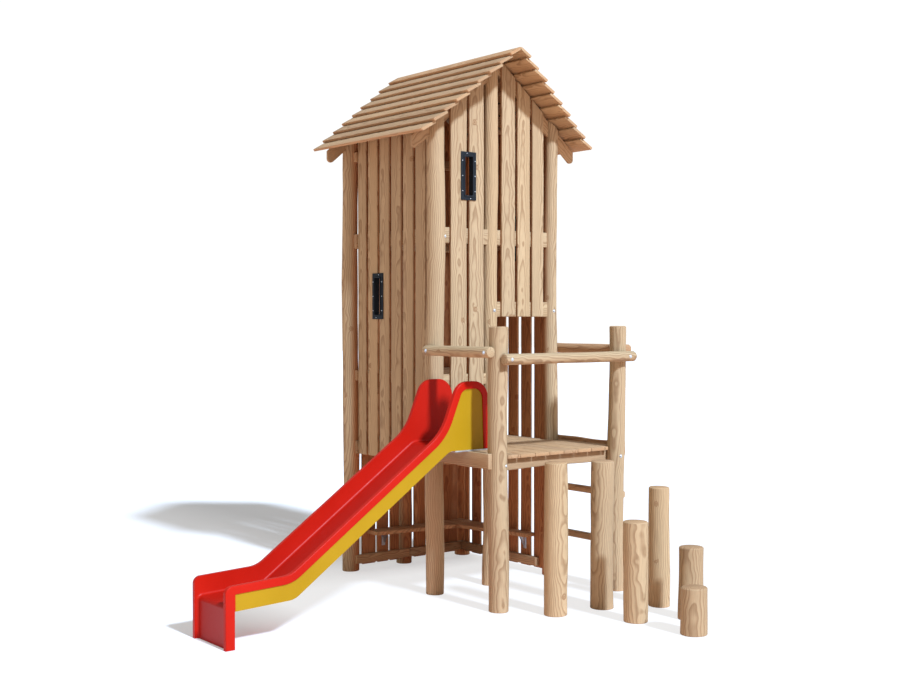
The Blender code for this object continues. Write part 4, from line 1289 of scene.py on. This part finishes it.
def make_slide():
    corners = slide_corners()
    work, sides = prism_mesh(rounded(corners, slide_steps), slide_near, slide_far)
    rim = [edge for edge in work.edges if edge in set(edges_across(sides))]
    bmesh.ops.bevel(work, geom=rim, offset=slide_rim_round, segments=4, profile=0.5, affect="EDGES")
    chute = loose_object("slide_moulding", work)

    recess = slide_rim_thickness - slide_side_wall
    hollow = rounded(panel_corners(corners, 0.0, slide_rim_round), slide_steps)
    for start in (slide_near - recess, slide_far - recess):
        boolean(chute, prism_object("recess", hollow, start, start + 2 * recess), "DIFFERENCE")

    # The channel between the sides, with fillets along its bed.
    inner = (slide_near + slide_rim_thickness, slide_far - slide_rim_thickness)
    high = corners[4][1] + cutter_reach
    line = rounded(bed_line(corners), slide_steps)
    far_x = corners[6][0] + cutter_reach
    near_x = corners[0][0] - cutter_reach
    work, sides = prism_mesh([(near_x, -cutter_reach)] + line + [(far_x, high), (near_x, high)], *inner)
    bmesh.ops.bevel(
        work, geom=edges_across(sides[1:len(line)]), offset=slide_fillet, segments=5, profile=0.5,
        affect="EDGES", clamp_overlap=False)
    boolean(chute, loose_object("channel", work), "DIFFERENCE")

    under = rounded(bed_line(corners, slide_plate), slide_steps)
    boolean(chute, prism_object("under", under + [(far_x, -cutter_reach)], *inner), "DIFFERENCE")

    work = bmesh.new()
    work.from_mesh(chute.data)
    bpy.data.objects.remove(chute)
    bmesh.ops.remove_doubles(work, verts=work.verts, dist=1e-5)
    bed = work.verts.layers.float.new("bed")
    # The bed's painted shade: full on its face, fading out within bed_blend of it.
    surface = [Vector(point) for point in line]
    for vert in work.verts:
        if inner[0] - fit < vert.co.y < inner[1] + fit:
            vert[bed] = max(0.0, 1.0 - line_distance(vert.co.xz, surface) / bed_blend)
    replaced = ("slide_chute", "slide_front_plate")
    finish_mesh("slide_moulding", work, red, replaced, slide_sharp_angle)


# Small fittings

# Bolt heads and the look-outs' screws: the head's radius and height, and the washer's radius
bolt_size = (0.0105, 0.0075, 0.0150)
# A washer: how far it goes into the timber, the height of its side and of its face, and its bevel
washer_depth = 0.004
washer_side = 0.0012
washer_height = 0.0022
washer_bevel = 0.001
dome_steps = 6
dome_top_radius = 0.0012
# How far a bolt on a post sits in, and its place on a handrail as a share of the rail's radius
bolt_sink = 0.002
rail_bolt_share = 0.97
# Bolts on the posts' fronts: post, height above the deck, and distance from the post's middle
post_bolts = (
    ("post_front_left", 1.803, 0.045), ("post_front_left", 0.542, 0.045),
    ("post_front_middle", 1.175, 0.005), ("post_front_right", 1.173, -0.003),
    ("post_platform_left", -0.074, 0.026), ("post_platform_right", -0.080, -0.017),
)
# Bolts along the front, left and right handrails
front_rail_bolts = (0.007, tower_width + 0.012)
left_rail_bolts = (0.0, 0.762)
right_rail_bolts = (0.133, 0.870)
screw_size = (0.0042, 0.0024, 0.0048)
# Screws of a look-out: in from its edge, the spacing, and the offset of those above and below
screw_inset = 0.014
screw_spacing = 0.130
screw_offset = 0.020
look_out_edge = 0.0022
# The raised lip round a look-out's slot: outwards from the slot, and up from the frame
lip_corner = 0.008
lip_profile = (
    (0.0, -0.003), (0.0, 0.006), (0.003, 0.0075), (0.009, 0.0075), (0.012, 0.006), (0.012, -0.003))


def add_turned(work, profile, centre, axis, outward, sides=24):
    # A turned fitting: profile of (radius, height) points from its rim to its middle.
    loops = []
    others = [index for index in range(3) if index != axis]
    for radius, height in profile:
        loop = []
        for side in range(sides):
            turn = 2 * math.pi * side / sides
            co = list(centre)
            co[axis] += outward * height
            co[others[0]] += radius * math.cos(turn)
            co[others[1]] += radius * math.sin(turn)
            loop.append(co)
        loops.append(loop)
    close_rings(work, loops)


def dome(radius, height, washer):
    # The profile of a round head on a washer, from below the surface up to its top.
    rise = washer_height
    profile = [(washer, -washer_depth), (washer, washer_side)]
    profile += [(washer - washer_bevel, rise), (radius, rise)]
    for step in range(1, dome_steps + 1):
        angle = math.pi / 2 * step / dome_steps
        profile.append((max(radius * math.cos(angle), dome_top_radius), rise + height * math.sin(angle)))
    return profile


def on_log(post, level):
    # A log's middle at a height, and how far out its front lies there.
    for name, foot, foot_share, top_share, phase in tower_posts + platform_posts:
        if name == post:
            break
    tall = bool(foot[1])
    radius = tower_post_radius if tall else platform_post_radius
    height = roof_line(foot[0]) + tower_post_radius if tall else platform_post_height
    x, y, out = log_section(foot, height, radius * foot_share, radius * top_share, phase, level)
    return x, y, out * (1.0 + log_flat * math.cos(math.pi + phase)) - bolt_sink


def make_bolts():
    work = bmesh.new()
    profile = dome(*bolt_size)
    for post, above, offset in post_bolts:
        level = deck_height + above
        x, y, out = on_log(post, level)
        front = y - math.sqrt(out * out - offset * offset)
        add_turned(work, profile, (x + offset, front, level), 1, -1.0)
    for post in ("post_back_left", "post_back_middle", "post_back_right"):
        for low, depth in (low_rail, floor_rail, middle_rail, upper_rail, gable_rail):
            x, y, out = on_log(post, low + depth / 2)
            add_turned(work, profile, (x, y + out, low + depth / 2), 1, 1.0)
    out = platform_post_radius + rail_radius - saddle_depth
    face = rail_radius * rail_bolt_share
    side_height = platform_post_height - side_rail_below_top
    front_height = platform_post_height - front_rail_below_top
    for x in front_rail_bolts:
        add_turned(work, profile, (x, -out - face, front_height), 1, -1.0)
    for x, places in ((-out, left_rail_bolts), (tower_width + out, right_rail_bolts)):
        for y in places:
            add_turned(work, profile, (x - face, y, side_height), 0, -1.0)
    finish_mesh("bolt_heads", work, steel)


def make_look_outs():
    half_width = window_width / 2
    half_height = window_height / 2
    levels = (-screw_spacing, 0.0, screw_spacing)
    spots = [(side * (half_width - screw_inset), level) for side in (-1, 1) for level in levels]
    spots += [(-screw_offset, half_height - screw_inset), (screw_offset, screw_inset - half_height)]
    for side, (axis, boards, index, height, face, outward) in look_outs.items():
        copy_of("window_frame_" + side, "look_out_" + side, look_out_edge, slate)
        middle = look_out_middle(side)
        screws = bmesh.new()
        lip = bmesh.new()

        def place(along, level, depth):
            co = [0.0, 0.0, height + level]
            co[axis] = middle + along
            co[1 - axis] = depth
            return co

        inner_plane = face - outward * (board_thickness + window_flange + 2 * fit)
        for out, plane in ((outward, face + outward * (fit + window_flange)), (-outward, inner_plane)):
            for along, level in spots:
                add_turned(screws, dome(*screw_size), place(along, level, plane), 1 - axis, out, 16)
            loops = []
            for grow, lift in lip_profile:
                wide = half_width - window_bar + grow
                tall = half_height - window_bar + grow
                signs = ((-1, -1), (1, -1), (1, 1), (-1, 1))
                corners = [(wide * x, tall * z, lip_corner + grow) for x, z in signs]
                depth = plane + out * lift
                loops.append([lip.verts.new(place(*point, depth)) for point in rounded(corners, 4)])
            count = len(loops[0])
            for first, second in zip(loops, loops[1:] + loops[:1]):
                for here in range(count):
                    after = (here + 1) % count
                    lip.faces.new((first[here], first[after], second[after], second[here]))
        finish_mesh("look_out_screws_" + side, screws, steel)
        finish_mesh("look_out_lip_" + side, lip, slate)


def make_bracket_ribs():
    # Two thin gussets brace each bench bracket's arm, short of its ends.
    work = bmesh.new()
    end_gap = 0.012
    for number, (depth, wide) in enumerate(((1, 0), (1, 0), (0, 1), (0, 1)), 1):
        low, high = (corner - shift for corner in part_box("bench_bracket_" + str(number)))
        wall = high[depth] - bracket_plate + bite
        arm = high.z - bracket_plate + bite
        corners = ((wall, arm), (wall, low.z + end_gap), (low[depth] + end_gap, arm))
        for share in (0.28, 0.72):
            middle = low[wide] + (high[wide] - low[wide]) * share
            rings = []
            for side in (middle - rib_thickness / 2, middle + rib_thickness / 2):
                ring = [[0.0, 0.0, level] for out, level in corners]
                for point, (out, level) in zip(ring, corners):
                    point[depth] = out
                    point[wide] = side
                rings.append(ring)
            close_rings(work, rings)
    finish_mesh("bench_bracket_ribs", work, steel)


def make_fittings():
    for number in range(1, 5):
        node = "bench_bracket_" + str(number)
        copy_of(node, node + "_plate", 0.0012, steel)
    copy_of("slide_flange", "slide_flange_plate", 0.0015, steel)
    for side in ("near", "far"):
        copy_of("slide_panel_" + side, "slide_inlay_" + side, 0.0, yellow)


# Stage

# A cool main light, a plain sky, and a floor that throws back warm light and glows to the camera to paint
# its shadows paler
sky_strength = 0.53
background_strength = 1.05
sun_strength = 6.45
sun_colour = (0.667, 0.80, 1.0)
sun_height = math.radians(43.0)
sun_width = math.radians(5.0)
bounce_colour = (0.98, 0.60, 0.43)
# How much of the floor's shadows its painted glow covers
pale_shadow = 0.75
ground_reach = 70.0
# The camera's place in the part's frame, where it looks, and its lens in millimetres
camera_place = (-6.247, -8.103, 2.352)
camera_yaw = math.radians(51.79)
camera_pitch = math.radians(1.41)
camera_lens = 50.74
camera_sensor = 36.0


def make_ground():
    mesh = bpy.data.meshes.new("ground")
    corners = [(ground_reach * x, ground_reach * y, 0.0) for x, y in ((-1, -1), (1, -1), (1, 1), (-1, 1))]
    mesh.from_pydata(corners, [], [(0, 1, 2, 3)])
    ground = bpy.data.objects.new("ground", mesh)
    bpy.context.collection.objects.link(ground)
    net = Graph("ground_looks")
    place = net.node("ShaderNodeTexCoord").outputs["Object"]
    floor = net.ramp(net.noise(place, 0.6, 2.0), (0.3, grey(0.84)), (0.7, grey(0.86)))
    soft = net.node("ShaderNodeLightPath").outputs["Is Diffuse Ray"]
    net.put(net.blend(soft, floor, bounce_colour), net.shader.inputs["Base Color"])
    net.shader.inputs["Roughness"].default_value = 0.9
    net.shader.inputs["Specular IOR Level"].default_value = 0.1
    # Painted light: the floor glows to the camera, which paints its shadows pale under the playhouse. The
    # glow fades behind it and at the slide's outlet, where the shadows deepen.
    spot = net.node("ShaderNodeSeparateXYZ")
    net.put(place, spot.inputs[0])
    across, back = spot.outputs[:2]
    behind = net.range(back, back_y + shift.y - 0.5, back_y + shift.y + 0.8, 0.0, 1.0)
    beside = net.range(across, shift.x - 0.4, shift.x + 0.9, 0.60, 1.0)
    outlet = net.range(across, shift.x - 1.9, shift.x - 1.2, 0.35, 1.0)
    pale = net.math("MULTIPLY", net.math("SUBTRACT", 1.0, net.math("MULTIPLY", behind, beside)), outlet)
    seen = net.node("ShaderNodeLightPath").outputs["Is Camera Ray"]
    glow = net.node("ShaderNodeEmission")
    mixed = net.node("ShaderNodeMixShader")
    net.put(net.math("MULTIPLY", seen, net.math("MULTIPLY", pale, pale_shadow)), mixed.inputs[0])
    net.put(net.shader.outputs[0], mixed.inputs[1])
    net.put(glow.outputs[0], mixed.inputs[2])
    net.put(mixed.outputs[0], net.tree.nodes["Material Output"].inputs["Surface"])
    mesh.materials.append(net.material)


def make_light():
    # The sky is white to the camera and dimmer as a light.
    world = bpy.data.worlds.new("sky")
    bpy.context.scene.world = world
    world.use_nodes = True
    tree = world.node_tree
    background = tree.nodes["Background"]
    background.inputs["Color"].default_value = (1.0, 1.0, 1.0, 1.0)
    rays = tree.nodes.new("ShaderNodeLightPath")
    level = tree.nodes.new("ShaderNodeMapRange")
    level.inputs["To Min"].default_value = sky_strength
    level.inputs["To Max"].default_value = background_strength
    tree.links.new(rays.outputs["Is Camera Ray"], level.inputs["Value"])
    tree.links.new(level.outputs[0], background.inputs["Strength"])

    lamp = bpy.data.lights.new("sun", "SUN")
    lamp.energy = sun_strength
    lamp.angle = sun_width
    lamp.color = sun_colour
    sun = bpy.data.objects.new("sun", lamp)
    bpy.context.collection.objects.link(sun)
    travel = Vector((0.0, math.cos(sun_height), -math.sin(sun_height)))
    sun.rotation_euler = travel.to_track_quat("-Z", "Y").to_euler()


def make_camera():
    lens = bpy.data.cameras.new("view")
    lens.lens = camera_lens
    lens.sensor_width = camera_sensor
    lens.sensor_fit = "HORIZONTAL"
    lens.clip_end = 400.0
    camera = bpy.data.objects.new("view", lens)
    bpy.context.collection.objects.link(camera)
    level = math.cos(camera_pitch)
    ahead = Vector((math.cos(camera_yaw) * level, math.sin(camera_yaw) * level, -math.sin(camera_pitch)))
    camera.location = camera_place
    camera.rotation_euler = ahead.to_track_quat("-Z", "Y").to_euler()
    bpy.context.scene.camera = camera
    bpy.context.scene.view_settings.view_transform = "Standard"


make_posts()
make_walls()
make_roof()
make_timbers()
make_boarded("platform_deck", 1100)
make_boarded("tower_floor", 1200)
make_handrails()
make_slide()
make_bolts()
make_look_outs()
make_fittings()
make_bracket_ribs()
make_ground()
make_light()
make_camera()
